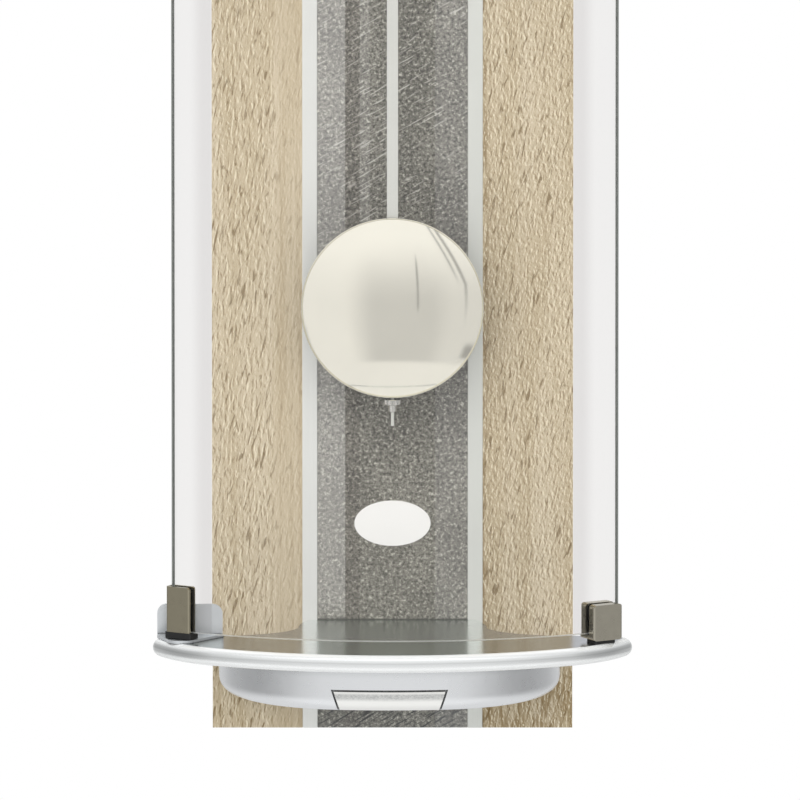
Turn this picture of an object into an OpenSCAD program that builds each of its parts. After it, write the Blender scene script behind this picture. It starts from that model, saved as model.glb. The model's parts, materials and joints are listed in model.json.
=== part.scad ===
// Wall pendulum clock with a bent glass door, a slate-inlaid back board and a quartz movement.
// Millimetres, +Z up, front towards -Y. The origin is the wall hook hole, on the wall plane.

/* [Back board] */
// Width of the back board
panel_w = 180; // [170:1:200]
// Height of the back board
panel_h = 682; // [660:1:760]
// Thickness of the back board
panel_t = 18; // [16:1:22]
// Length of board that shows past each tray's inner face
panel_drop = 55; // [48:1:64]
// Width of the slate inlay
slate_w = 75; // [66:1:80]
// Thickness of the slate inlay
slate_t = 3; // [2:0.5:4]
// Width of each aluminium trim strip
strip_w = 7.5; // [5:0.5:9]
// How far the trim strips stand proud of the slate
strip_proud = 0.8; // [0.3:0.1:1.5]
// Width of the plain oval plate on the slate
label_w = 38; // [30:1:44]
// Height of the plain oval plate on the slate
label_h = 23; // [18:1:28]
// Thickness of the oval plate
label_t = 0.4; // [0.3:0.1:1]
// Height of the oval plate's middle above the base tray
label_z = 49; // [40:1:60]

/* [Wall hanger] */
// Distance of the wall hook hole below the board's top end
hanger_drop = 37; // [30:1:60]
// Radius of the keyhole's round entry
keyhole_r = 5; // [4:0.25:6]
// Half width of the keyhole's slot
keyhole_slot_r = 2.25; // [1.5:0.25:3]
// Length of the keyhole's slot above the entry's middle
keyhole_rise = 10; // [8:0.5:14]
// Width of the hanger plate
hanger_w = 44; // [40:1:56]
// Height of the hanger plate
hanger_h = 30; // [28:1:40]
// Thickness of the hanger plate
hanger_t = 1.5; // [1:0.25:2]
// Depth of the pocket for the hook's head behind the plate
hanger_pocket = 8; // [6:0.5:10]

/* [Trays] */
// Width of the trays' outline, before its two rear tips are rounded
tray_w = 250; // [244:1:260]
// Reach of the trays in front of the board
tray_depth = 110; // [106:1:120]
// Radius of the trays' front curve
tray_front_r = 200; // [185:1:230]
// Radius of the trays' front corners
tray_corner_r = 64; // [58:1:70]
// Thickness of the trays' rounded rim
rim_t = 8.8; // [8:0.2:11]
// Distance of the trays' rear edge in front of the board, beside the neck
tray_rear = 46.5; // [43:0.5:49]
// Radius of the two rear tips
tip_r = 9; // [7:0.5:11]
// Width of the neck that joins a tray to the board, at its widest
neck_w = 95; // [90:1:104]
// Width of the neck where it meets the board
neck_foot_w = 85; // [80:1:89]
// Width of the flare from the neck to the rear edge
flare_w = 44; // [36:1:50]
// Depth of the flare from the neck to the rear edge
flare_d = 26; // [18:1:32]
// Reach of the rounding along the trays' rear edge
rear_edge_r = 1; // [0.5:0.25:3]
// Distance between the two screws in a neck
neck_screw_pitch = 56; // [44:1:66]

/* [Bowls] */
// Width of the bowl under the base tray and over the top tray
bowl_w = 170.5; // [165:0.5:177]
// Distance of the bowls' middle to the left of the board's middle
bowl_shift = 1.5; // [0:0.25:2.5]
// Reach of the bowls in front of the board
bowl_depth = 87; // [82:1:94]
// Radius of the bowls' front curve
bowl_front_r = 200; // [180:1:230]
// Radius of the bowls' rounded corners
bowl_corner_r = 66; // [58:1:72]
// Height of the bowls past the rim
bowl_h = 23.5; // [21:0.5:29]
// Wall thickness of the bowls
bowl_wall = 2.5; // [2:0.25:3]
// Radius of the bowls' rounded lower edge
bowl_edge_r = 8; // [6:0.5:10]
// Thickness of the bowls' rear wall, against the board
rib_t = 8; // [6:0.5:10]
// Distance between the two screws in a bowl's rear wall
bowl_screw_pitch = 124; // [110:1:136]
// Width of the front hatch at its top edge
hatch_top_w = 55.8; // [50:0.2:64]
// Width of the front hatch at its bottom edge
hatch_bottom_w = 49.2; // [44:0.2:58]
// Height of the front hatch
hatch_h = 10.4; // [9:0.2:13]
// Thickness of the front hatch
hatch_t = 1.4; // [1:0.1:1.7]
// Open joint round the front hatch
hatch_gap = 1; // [0.3:0.1:1.2]

/* [Glass door] */
// Thickness of the bent glass
glass_t = 3; // [3:0.5:5]
// Outer radius of the bent glass
glass_r = 209; // [195:1:240]
// Distance of each side edge of the glass inside the tray's widest point
glass_inset = 13.5; // [10:0.5:16]
// Distance of the door's middle to the right of the board's middle
door_shift = 1.25; // [0:0.25:2]
// Reach of the glass's outer face in front of the board, at its middle
glass_reach = 95.5; // [92:0.5:99]
// Gap between the glass and each tray
glass_gap = 5; // [4:0.25:7]
// Width of a hinge clamp, along the glass
hinge_clamp_w = 13.5; // [11:0.5:16]
// Height of a hinge clamp
hinge_clamp_h = 23; // [18:1:30]
// Width of a catch clamp, along the glass
catch_clamp_w = 16.5; // [14:0.5:22]
// Height of a catch clamp
catch_clamp_h = 18; // [15:1:26]
// Distance of a catch clamp inside the glass's side edge
catch_inset = 1; // [0.5:0.25:2]
// Thickness of the hinge clamps' plates
clamp_plate_t = 1.5; // [1.5:0.25:2.75]
// Thickness of the catch clamps' plates
catch_plate_t = 4.75; // [2.5:0.25:5.5]
// Thickness of the hinge clamps' web past the glass's edge
clamp_web_t = 1; // [1:0.25:2]
// Radius of the clamps' free corners
clamp_corner_r = 2; // [1.25:0.25:3]
// Thickness of the rubber lining on each side of the glass
lining_t = 0.75; // [0.75:0.25:1.5]
// Radius of the hinge pins
hinge_pin_r = 2; // [1.5:0.1:2.5]
// Outer radius of the hinge bushes
hinge_bush_r = 4; // [3.2:0.1:4.5]
// Height of the hinge bracket's upright
bracket_h = 16.6; // [12:0.2:20]
// Width of the hinge bracket's upright
bracket_w = 33; // [26:0.5:34]
// Sheet thickness of the hinge brackets
bracket_t = 1.5; // [1:0.1:2]
// Distance of the hinge bracket's upright behind the hinge axis
bracket_back = 16; // [13:0.5:20]
// Thickness of the catch magnets
magnet_t = 1.6; // [0.8:0.1:2]

/* [Dial and hands] */
// Radius of the dial
dial_r = 80; // [74:1:84]
// Thickness of the dial
dial_t = 1.5; // [1:0.25:2]
// Distance of the dial's middle from the top tray's inner face
dial_drop = 104; // [98:1:118]
// Gap between the board's front and the dial's back
dial_standoff = 56; // [54:1:58]
// Radius of the dial's feet
dial_foot_r = 4; // [3:0.25:5]
// Length of an hour marker
marker_len = 14; // [10:0.5:18]
// Width of an hour marker
marker_w = 3; // [2:0.25:4]
// Thickness of an hour marker
marker_t = 1.2; // [0.6:0.1:1.6]
// Reach of the minute hand
minute_len = 70; // [60:1:73]
// Reach of the hour hand
hour_len = 47; // [40:1:54]
// Thickness of the hands
hand_t = 0.8; // [0.5:0.1:0.9]

/* [Movement] */
// Width of the movement's housing
housing_w = 62; // [60:1:70]
// Thickness of the movement, from dial to rear face
housing_t = 20; // [20:0.5:21.5]
// Wall thickness of the movement's housing
housing_wall = 1.5; // [1.25:0.25:1.75]
// Radius of the minute arbor
arbor_r = 1.5; // [1.3:0.1:1.7]
// Module of the minute wheel's teeth
motion_module = 0.5; // [0.45:0.01:0.52]
// Module of the centre wheel's teeth
train_module = 0.4; // [0.36:0.01:0.42]
// Radius of the stepper motor's can
motor_r = 10; // [8:0.5:11]
// Radius of the setting knob
knob_r = 6; // [4:0.5:7]
// Radius of the battery cell
battery_r = 7.25; // [6.5:0.05:7.5]
// Length of the battery cell
battery_len = 50; // [46:0.5:50.5]

/* [Pendulum] */
// Width of the flat pendulum rod
rod_w = 5.5; // [4:0.25:7]
// Thickness of the pendulum rod
rod_t = 1.5; // [1:0.25:2]
// Gap between the board's front and the middle of the rod
rod_standoff = 30; // [29.5:0.25:30.5]
// Diameter of the pendulum bob
bob_d = 91; // [80:1:96]
// Rise of the bob's polished dome
bob_bulge = 13; // [9:0.5:16]
// Height of the bob's middle above the base tray
bob_z = 163.5; // [155:0.5:180]
// Thickness of the bob's shell and back disc
bob_shell = 1.2; // [0.8:0.1:1.5]
// Radius of the threaded end below the rod
thread_r = 0.8; // [0.6:0.1:1.1]
// Radius of the rating nut's collar
nut_r = 4; // [3:0.25:5]
// Height of the rating nut's collar
nut_h = 3; // [2:0.25:4]
// Travel of the bob up and down from its middle place
bob_travel = 4; // [2:0.5:4.5]

/* [Hidden] */
$fn = 96;
sweep_fn = 240;
back_past = 1;
// Running clearance of shafts in bores, and of close parts on different bodies
run = 0.05;
clear = 0.4;
big = 1000;

// Heights above the base tray's inner face
top_z = panel_h - 2 * panel_drop;
hanger_z = top_z + panel_drop - hanger_drop;
dial_z = top_z - dial_drop;

// Depths, from the wall plane
board_y = -panel_t;
rod_y = board_y - rod_standoff;
dial_y = board_y - dial_standoff;
cover_y = dial_y + housing_t;
cover_in_y = cover_y - housing_wall;
housing_in_y = dial_y + housing_wall;
groove_w = slate_w + 2 * strip_w;

// Screws
screw_r = 2;
screw_hole_r = screw_r + run;
screw_head_r = 3.8;
screw_head_t = 2.6;
head_pocket_r = screw_head_r + 0.4;
head_pocket = 4.5;
small_screw_r = 1.2;
small_head_r = 2.3;
small_head_t = 1.2;
hanger_screw_len = 12;
cover_screw_len = 0.45 * housing_t;
contact_w = 4 / 3 * battery_r;
contact_t = 0.07 * battery_r;

// Trays and bowls
rim_r = rim_t / 2;
tray_front = board_y - tray_depth;
rear_y = board_y - tray_rear;
bowl_front = board_y - bowl_depth;
bowl_z = -rim_t - bowl_h;
bowl_screw_z = (bowl_z - rim_t) / 2;
neck_screw_len = 12;
bush_depth = 6.5;

// Bent glass
glass_w = tray_w - 2 * glass_inset;
glass_in_r = glass_r - glass_t;
glass_mid_r = glass_r - glass_t / 2;
glass_cy = board_y - glass_reach + glass_r;
glass_edge_a = asin(glass_w / 2 / glass_r);
glass_h = top_z - 2 * glass_gap;
clamp_gap = glass_t + 2 * lining_t;
clamp_slot = clamp_gap + 2 * run;
clamp_edge_r = 1;
hinge_t = clamp_gap + 2 * clamp_plate_t;
catch_t = clamp_gap + 2 * catch_plate_t;
grub_r = 1.5;
lining_in = 1;
catch_pad = 0.4;
shoe_z = bracket_t + clear;
shoe_h = glass_gap - shoe_z;
hinge_a = glass_edge_a - asin((hinge_clamp_w / 2 - clamp_web_t - lining_t) / glass_mid_r);
catch_a = glass_edge_a - asin((catch_inset + catch_clamp_w / 2) / glass_mid_r);
hinge_x = door_shift - glass_mid_r * sin(hinge_a);
hinge_y = glass_cy - glass_mid_r * cos(hinge_a);
catch_z = magnet_t + clear;
shoe_w = hinge_clamp_w + 1.5;

// Movement: gear layers are counted forwards from the rear cover
pinion_teeth = 15;
minute_wheel_teeth = 45;
hour_wheel_teeth = 60;
centre_wheel_teeth = 72;
hour_module = motion_module * (pinion_teeth + minute_wheel_teeth) / (pinion_teeth + hour_wheel_teeth);
motion_pitch = motion_module * (pinion_teeth + minute_wheel_teeth) / 2;
train_pitch = train_module * (pinion_teeth + centre_wheel_teeth) / 2;
hour_layer_t = 1.2;
minute_layer_t = 1.6;
train_layer_t = 1.2;
hour_layer_y = housing_in_y + clear + hour_layer_t;
minute_layer_y = hour_layer_y + clear + minute_layer_t;
train_layer_y = minute_layer_y + clear + train_layer_t;
knob_a = 120;
knob_t = 4;
minute_wheel_at = [-motion_pitch, 0];
knob_at = minute_wheel_at + motion_pitch * [cos(knob_a), sin(knob_a)];
motor_at = [train_pitch, 0];
post_r = 1;
pipe_r = arbor_r + run + 1.05;
bush_r = pipe_r + run + 1.85;
centre_nut_t = 2;
centre_nut_r = bush_r + 2.6;
bush_end_y = dial_y - dial_t - centre_nut_t - 0.2;
hour_hand_y = bush_end_y - 0.5;
pipe_end_y = hour_hand_y - hand_t - 0.4;
minute_hand_y = pipe_end_y - 0.6;
hand_nut_t = 2;
hand_pivot_r = arbor_r - 0.3;
minute_hand_a = 60;
hour_hand_a = 305;
housing_top = 24;
housing_bottom = -70;
battery_at = -38;
board_at = -23;
coil_at = -57;
coil_r = 9;
core_r = 3.4;
coil_t = 8;
cover_screw_in = 4;

// Pendulum
pivot_up = 14;
pivot_r = 1.5;
hook_at = -66;
hook_r = 1.5;
lever_y = cover_y + clear;
lever_t = 4;
arm_t = 3;
arm_w = 8;
drive_magnet_r = 6;
clip_t = 0.8;
eye_r = 4;
bob_r = bob_d / 2;
guide_w = 12;
guide_wall = 1.5;
guide_fit = 0.1;
guide_front_y = rod_y - rod_t / 2 - 0.6;
bob_front_y = guide_front_y - bob_shell;
bob_sphere_r = (bob_r * bob_r + bob_bulge * bob_bulge) / (2 * bob_bulge);
guide_foot_z = bob_z - bob_r - 0.5;
nut_top_z = guide_foot_z - clear;
nut_neck_h = 3.6;
nut_neck_r = 2.1;
rod_end_z = nut_top_z + bob_travel + 2.2;
thread_end_z = nut_top_z - nut_h - nut_neck_h - bob_travel - 3;

// Placing

// Moves a piece from base tray heights to the wall hook's frame
module hung() { translate([0, 0, -hanger_z]) children(); }

// Turns a piece of the base over, for the top tray
module at_top() { translate([0, 0, top_z]) mirror([0, 0, 1]) children(); }

module both_ends() {
    children();
    at_top() children();
}

// Draws a flat shape in the X-Z plane, from depth y forwards by len
module forward(y, len) { translate([0, y, 0]) rotate([90, 0, 0]) linear_extrude(len) children(); }

module shaft(y, len, r) { translate([0, y, 0]) rotate([90, 0, 0]) cylinder(r = r, h = len); }

module at_dial() { translate([0, 0, dial_z]) children(); }

module at_axis(p) { translate([p[0], 0, p[1]]) children(); }

module rounded_rect(w, h, r) {
    square([w - 2 * r, h], center = true);
    square([w, h - 2 * r], center = true);
    for (x = [-1, 1], y = [-1, 1]) translate([x * (w / 2 - r), y * (h / 2 - r)]) circle(r);
}

// The trays' and bowls' outlines: a front curve blended into round corners, each as a loop of points

function corner_x(w, corner_r) = w / 2 - corner_r;
function corner_y(front, w, front_r, corner_r) =
    front + front_r - sqrt(pow(front_r - corner_r, 2) - pow(corner_x(w, corner_r), 2));
function blend_a(w, front_r, corner_r) = asin(corner_x(w, corner_r) / (front_r - corner_r));

// The points of an arc after its first one
function arc(mid, r, from, to, steps) =
    [for (i = [1 : steps]) let (a = from + (to - from) * i / steps) mid + r * [cos(a), sin(a)]];

// A whole loop from its right half, which starts at the front's middle
function whole(half) = concat(half, [for (i = [len(half) - 1 : -1 : 1]) [-half[i][0], half[i][1]]]);

// A tray's outline, taken in by inset: front, corner, rear tip, flare and neck
function tray_loop(inset) =
    let (
        a = blend_a(tray_w, tray_front_r, tray_corner_r),
        corner = [
            corner_x(tray_w, tray_corner_r), corner_y(tray_front, tray_w, tray_front_r, tray_corner_r)
        ],
        reach = tray_corner_r - tip_r,
        tip_y = rear_y - tip_r,
        tip = [corner[0] + sqrt(reach * reach - pow(tip_y - corner[1], 2)), tip_y],
        tip_a = asin((tip_y - corner[1]) / reach),
        rear_in = inset * rear_edge_r / rim_r,
        flare = [neck_w / 2 + flare_w, rear_y + flare_d],
        flare_steps = 12,
        taper = (neck_w - neck_foot_w) / 2,
        steps = 6
    )
    whole(concat(
        [[0, tray_front + inset]],
        arc([0, tray_front + tray_front_r], tray_front_r - inset, -90, a - 90, 14),
        arc(corner, tray_corner_r - inset, a - 90, tip_a, 12),
        arc(tip, tip_r - inset, tip_a, 90, 10),
        [
            for (i = [0 : flare_steps])
                let (t = 90 * i / flare_steps)
                [flare[0] - (flare_w + rear_in) * sin(t), flare[1] - (flare_d + rear_in) * cos(t)]
        ],
        [
            for (i = [1 : steps])
                let (s = i / steps)
                [neck_w / 2 - taper * s * s - rear_in, flare[1] + (board_y - flare[1]) * s]
        ]
    ));

// A bowl's outline, taken in by inset, with straight sides that end at depth back
function bowl_loop(inset, back) =
    let (
        a = blend_a(bowl_w, bowl_front_r, bowl_corner_r),
        corner = [
            corner_x(bowl_w, bowl_corner_r), corner_y(bowl_front, bowl_w, bowl_front_r, bowl_corner_r)
        ]
    )
    whole(concat(
        [[0, bowl_front + inset]],
        arc([0, bowl_front + bowl_front_r], bowl_front_r - inset, -90, a - 90, 10),
        arc(corner, bowl_corner_r - inset, a - 90, 0, 16),
        [[bowl_w / 2 - inset, back]]
    ));

// A solid skinned over loops with equal counts of points, each at its own height, from the top down
module loft(loops, heights) {
    n = len(loops[0]);
    m = len(loops);
    points = [for (j = [0 : m - 1]) for (p = loops[j]) [p[0], p[1], heights[j]]];
    sides = [
        for (j = [0 : m - 2], i = [0 : n - 1], k = [0, 1])
            let (a = j * n + i, b = j * n + (i + 1) % n)
            k == 0 ? [a, b, b + n] : [a, b + n, a + n]
    ];
    top = [for (i = [n - 1 : -1 : 0]) i];
    bottom = [for (i = [0 : n - 1]) (m - 1) * n + i];
    polyhedron(points, concat([top, bottom], sides));
}

// Back board

module back_board() {
    color("burlywood") difference() {
        translate([-panel_w / 2, -panel_t, -panel_drop]) cube([panel_w, panel_t, panel_h]);
        translate([-groove_w / 2, -panel_t - 1, -panel_drop - 1]) cube([groove_w, slate_t + 1, panel_h + 2]);
        translate([-hanger_w / 2, -hanger_t, hanger_mid_z() - hanger_h / 2])
            cube([hanger_w, hanger_t + 1, hanger_h]);
        translate([0, 1, hanger_z]) {
            for (z = [0, keyhole_rise]) translate([0, 0, z])
                shaft(0, hanger_pocket + hanger_t + 1, keyhole_r + 1.5);
            translate([-keyhole_r - 1.5, -hanger_pocket - hanger_t - 1, 0])
                cube([2 * keyhole_r + 3, hanger_pocket + hanger_t + 1, keyhole_rise]);
        }
        hanger_screw_places() shaft(1, 1 + hanger_t + hanger_screw_len, small_screw_r);
        both_ends() {
            neck_screw_places() screw_hole();
            bowl_screw_places() screw_hole();
        }
        dial_foot_places() screw_hole();
    }
}

function hanger_mid_z() = hanger_z + keyhole_rise / 2;

// A bolt hole through the board with a pocket for the head at the back
module screw_hole() {
    shaft(1, panel_t + 2, screw_hole_r);
    shaft(1, head_pocket + 1, head_pocket_r);
}

module slate_inlay() {
    color("dimgray") difference() {
        translate([-slate_w / 2, -panel_t, -panel_drop]) cube([slate_w, slate_t, panel_h]);
        both_ends() neck_screw_places() screw_hole();
    }
}

module trim_strip(side) {
    color("gainsboro") translate([side * (slate_w + strip_w) / 2 - strip_w / 2, -panel_t - strip_proud, -panel_drop])
        cube([strip_w, slate_t + strip_proud, panel_h]);
}

module trim_strip_left() { trim_strip(-1); }

module trim_strip_right() { trim_strip(1); }

module label_plate() {
    sides = 64;
    rim = [for (i = [0 : sides - 1]) [label_w / 2 * cos(360 * i / sides), label_h / 2 * sin(360 * i / sides)]];
    color("white") translate([0, 0, label_z]) forward(board_y, label_t) polygon(rim);
}

// Wall hanger

module hanger_screw_places() {
    for (s = [-1, 1]) translate([s * (hanger_w / 2 - 6), 0, hanger_mid_z()]) children();
}

module hanger_plate() {
    color("silver") difference() {
        translate([0, 0, hanger_mid_z()]) forward(0, hanger_t) rounded_rect(hanger_w, hanger_h, 3);
        translate([0, 0, hanger_z]) {
            shaft(1, hanger_t + 2, keyhole_r);
            translate([0, 0, keyhole_rise]) shaft(1, hanger_t + 2, keyhole_slot_r);
            translate([-keyhole_slot_r, -hanger_t - 1, 0]) cube([2 * keyhole_slot_r, hanger_t + 2, keyhole_rise]);
        }
        hanger_screw_places() shaft(1, hanger_t + 2, small_screw_r + run);
        hanger_screw_places() shaft(1, 1 + hanger_t / 2, small_head_r + run);
    }
}

module hanger_screws() {
    color("silver") hanger_screw_places() {
        shaft(-hanger_t / 2, hanger_screw_len, small_screw_r - run);
        shaft(0, hanger_t / 2, small_head_r);
    }
}

// Trays and bowls

module tray() {
    turn = [for (i = [0 : 8]) 90 - 22.5 * i];
    difference() {
        loft(
            [for (t = turn) tray_loop(rim_r * (1 - cos(t)))],
            [for (t = turn) rim_r * (sin(t) - 1)]
        );
        translate([hinge_x, hinge_y, -bush_depth]) cylinder(r = hinge_bush_r, h = bush_depth + 1);
        neck_screw_places() shaft(board_y + 1, neck_screw_len + 1, screw_r);
        strip_channels();
    }
}

module base_tray() { color("lightgray") tray(); }

module top_tray() { color("lightgray") at_top() tray(); }

// The bowl's solid form under height top, taken in by inset, ending at depth back
module bowl_block(inset, top, back) {
    turn = [for (i = [0 : 6]) -15 * i];
    edge_r = bowl_edge_r - inset;
    loft(
        concat([bowl_loop(inset, back)], [for (t = turn) bowl_loop(inset + edge_r * (1 - cos(t)), back)]),
        concat([top], [for (t = turn) bowl_z + bowl_edge_r + edge_r * sin(t)])
    );
}

module bowl() {
    difference() {
        translate([-bowl_shift, 0, 0]) difference() {
            bowl_block(0, -rim_t, board_y);
            bowl_block(bowl_wall, -rim_t - bowl_wall, board_y - rib_t);
            translate([-bowl_w / 4, board_y - rib_t - 1, bowl_z + bowl_wall + 3])
                cube([bowl_w / 2, rib_t + 2, bowl_h - 2 * bowl_wall - 6]);
        }
        bowl_screw_places() shaft(board_y + 1, rib_t + 2, screw_r);
        strip_channels();
    }
}

// Room at the back of a tray or bowl for the proud trim strips
module strip_channels() {
    w = strip_w + 0.4;
    for (s = [-1, 1])
        translate([s * (slate_w + strip_w) / 2 - w / 2, board_y - strip_proud - 0.1, -panel_drop])
            cube([w, strip_proud + 1, panel_drop + 1]);
}

// The bowl's front skin, t thick, inside a trapezium that is grown by extra
module hatch_block(t, extra) {
    top = bowl_z + hatch_h + extra;
    slope = (hatch_top_w - hatch_bottom_w) / 2 / hatch_h;
    half_top = hatch_top_w / 2 + extra * (1 + slope);
    below = 5;
    half_below = half_top - slope * (hatch_h + extra + below);
    translate([-bowl_shift, 0, 0]) intersection() {
        difference() {
            bowl_block(0, -rim_t, board_y);
            bowl_block(t, -rim_t + 1, board_y + back_past);
        }
        translate([0, bowl_front + bowl_edge_r, 0]) forward(0, big) polygon([
            [-half_top, top], [half_top, top], [half_below, bowl_z - below], [-half_below, bowl_z - below]
        ]);
    }
}

module base_bowl() {
    color("lightgray") difference() {
        bowl();
        hatch_block(hatch_t + 0.1, hatch_gap);
    }
}

module base_hatch() { color("whitesmoke") hatch_block(hatch_t, 0); }

module top_bowl() { color("lightgray") at_top() bowl(); }

module neck_screw_places() {
    for (x = [-1, 1]) translate([x * neck_screw_pitch / 2, 0, -rim_r]) children();
}

module bowl_screw_places() {
    for (x = [-1, 1]) translate([x * bowl_screw_pitch / 2, 0, bowl_screw_z]) children();
}

module bolt(len) {
    shaft(-head_pocket, len, screw_r - run);
    shaft(screw_head_t - head_pocket, screw_head_t, screw_head_r);
}

module tray_screws() {
    color("dimgray") both_ends() {
        neck_screw_places() bolt(panel_t - head_pocket + neck_screw_len - 1);
        bowl_screw_places() bolt(panel_t - head_pocket + rib_t);
    }
}

// Glass door

// The bent glass, grown by extra on all its sides
module bent_glass(extra) {
    a = glass_edge_a + extra / glass_mid_r * 180 / PI;
    translate([door_shift, glass_cy, glass_gap - extra]) rotate([0, 0, -90 - a])
        rotate_extrude(angle = 2 * a, $fn = sweep_fn)
            translate([glass_in_r - extra, 0]) square([glass_t + 2 * extra, glass_h + 2 * extra]);
}

module glass_pane() { color("azure", 0.35) bent_glass(0); }

// Places a piece square to the glass, at angle a left of its middle: its X is along the glass and its -Y outwards
module on_glass(a) {
    translate([door_shift, glass_cy, 0]) rotate([0, 0, -a]) translate([0, -glass_mid_r, 0]) children();
}

module at_hinge() { on_glass(hinge_a) children(); }

module at_catch() { on_glass(-catch_a) children(); }

// A clamp's block from height z up, t thick, with rounded upright edges and a flat outline as its child
module clamp_block(w, t, z, h) {
    intersection() {
        translate([0, 0, z]) linear_extrude(h) rounded_rect(w, t, clamp_edge_r);
        translate([0, 0, z + h / 2]) forward(t, 2 * t) children();
    }
}

// The hinge clamps' outline, whose one free corner is round
module hinge_outline() {
    r = clamp_corner_r;
    translate([-r / 2, 0]) square([hinge_clamp_w - r, hinge_clamp_h], center = true);
    translate([0, -r / 2]) square([hinge_clamp_w, hinge_clamp_h - r], center = true);
    translate([hinge_clamp_w / 2 - r, hinge_clamp_h / 2 - r]) circle(r);
}

// A clamp round the glass's upright edge, with its web at -X
module hinge_clamp() {
    at_hinge() difference() {
        clamp_block(hinge_clamp_w, hinge_t + 2 * run, glass_gap, hinge_clamp_h) hinge_outline();
        translate([clamp_web_t - hinge_clamp_w / 2, -clamp_slot / 2, glass_gap - 1])
            cube([hinge_clamp_w, clamp_slot, hinge_clamp_h + 2]);
        translate([0, 0, glass_gap + hinge_clamp_h / 2]) shaft(hinge_t, hinge_t, grub_r);
    }
}

// A clamp round the glass's foot, open at both sides
module catch_clamp() {
    at_catch() difference() {
        clamp_block(catch_clamp_w, catch_t + 2 * run, catch_z, catch_clamp_h)
            rounded_rect(catch_clamp_w, catch_clamp_h, clamp_corner_r);
        translate([-catch_clamp_w, -clamp_slot / 2, glass_gap - catch_pad - run])
            cube([2 * catch_clamp_w, clamp_slot, catch_clamp_h]);
        translate([0, 0, catch_z + catch_clamp_h / 2]) shaft(catch_t, catch_t, grub_r);
    }
}

module hinge_clamp_lower() { color("slategray") hinge_clamp(); }

module hinge_clamp_upper() { color("slategray") at_top() hinge_clamp(); }

module catch_clamp_lower() { color("slategray") catch_clamp(); }

module catch_clamp_upper() { color("slategray") at_top() catch_clamp(); }

// The rubber between the glass and the clamps
module clamp_linings() {
    color("black") both_ends() difference() {
        union() {
            at_hinge() translate([clamp_web_t - hinge_clamp_w / 2, -clamp_gap / 2, glass_gap])
                cube([hinge_clamp_w - clamp_web_t - lining_in, clamp_gap, hinge_clamp_h - lining_in]);
            at_catch() translate([lining_in - catch_clamp_w / 2, -clamp_gap / 2, glass_gap - catch_pad])
                cube([
                    catch_clamp_w - 2 * lining_in, clamp_gap,
                    catch_z + catch_clamp_h - lining_in - glass_gap + catch_pad
                ]);
        }
        bent_glass(run);
    }
}

// A slotted screw, flush in the rear plate of a clamp t thick
module grub_screw(t, plate_t, z) {
    translate([0, t / 2, z]) difference() {
        shaft(0, plate_t - 0.3, grub_r - run);
        translate([-0.3, -0.6, -screw_r]) cube([0.6, 1, 2 * screw_r]);
    }
}

module clamp_screws() {
    color("silver") both_ends() {
        at_hinge() grub_screw(hinge_t, clamp_plate_t, glass_gap + hinge_clamp_h / 2);
        at_catch() grub_screw(catch_t, catch_plate_t, catch_z + catch_clamp_h / 2);
    }
}

// A block under each hinge clamp that carries the hinge pin
module hinge_shoes() {
    color("black") both_ends() difference() {
        at_hinge() translate([0, 0, shoe_z]) linear_extrude(shoe_h)
            rounded_rect(shoe_w, hinge_t + 0.5, clamp_edge_r);
        translate([hinge_x, hinge_y, 0]) cylinder(r = hinge_pin_r, h = glass_gap + 1);
    }
}

module hinge_pins() {
    color("silver") both_ends() translate([hinge_x, hinge_y, 0.5 - bush_depth])
        cylinder(r = hinge_pin_r, h = bush_depth + glass_gap - 0.7);
}

module hinge_bushes() {
    color("dimgray") both_ends() translate([hinge_x, hinge_y, -bush_depth]) difference() {
        cylinder(r = hinge_bush_r, h = bush_depth);
        translate([0, 0, -1]) cylinder(r = hinge_pin_r + run, h = bush_depth + 2);
    }
}

// An angle of sheet metal on the tray, with its foot under the hinge
module hinge_bracket() {
    back = hinge_y + bracket_back;
    left = hinge_x - bracket_w * 0.37;
    right = left + bracket_w;
    nose = hinge_bush_r + 3.5;
    corner_r = min(5, bracket_h / 3);
    difference() {
        union() {
            translate([0, back, 0]) forward(0, bracket_t) {
                translate([left, 0]) square([bracket_w, bracket_h - corner_r]);
                translate([left + corner_r, 0]) square([bracket_w - 2 * corner_r, bracket_h]);
                for (x = [left + corner_r, right - corner_r])
                    translate([x, bracket_h - corner_r]) circle(corner_r);
            }
            linear_extrude(bracket_t) {
                polygon([
                    [left, back], [right, back], [right, back - 3],
                    [hinge_x + nose * sin(45), hinge_y - nose * cos(45)],
                    [hinge_x - nose * sin(45), hinge_y - nose * cos(45)], [left, back - 6]
                ]);
                translate([hinge_x, hinge_y]) circle(nose);
            }
        }
        translate([hinge_x, hinge_y, -1]) cylinder(r = hinge_pin_r + 0.3, h = bracket_t + 2);
    }
}

module hinge_bracket_lower() { color("lightsteelblue") hinge_bracket(); }

module hinge_bracket_upper() { color("lightsteelblue") at_top() hinge_bracket(); }

module catch_magnets() {
    color("black") both_ends() at_catch()
        linear_extrude(magnet_t) rounded_rect(catch_clamp_w * 0.7, catch_t - catch_plate_t, clamp_edge_r);
}

// Dial

module dial_foot_places() {
    for (x = [-1, 1], z = [-1, 1])
        translate([x * dial_r * 0.73, 0, dial_z + z * dial_r * 0.52]) children();
}

module dial_plate() {
    color("gainsboro") at_dial() forward(dial_y, dial_t) difference() {
        circle(dial_r, $fn = sweep_fn);
        circle(bush_r + 0.1);
    }
}

module hour_markers() {
    color("black") at_dial() forward(dial_y - dial_t, marker_t)
        for (h = [0 : 11]) rotate(-30 * h) {
            w = h == 0 ? 2 * marker_w : marker_w;
            translate([-w / 2, dial_r - marker_len - 4]) square([w, marker_len]);
        }
}

module dial_feet() {
    color("silver") dial_foot_places() difference() {
        shaft(board_y, dial_standoff, dial_foot_r);
        shaft(board_y + 1, 13, screw_r);
    }
}

module dial_foot_screws() {
    color("dimgray") dial_foot_places() bolt(panel_t - head_pocket + 11);
}

// Gears

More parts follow.
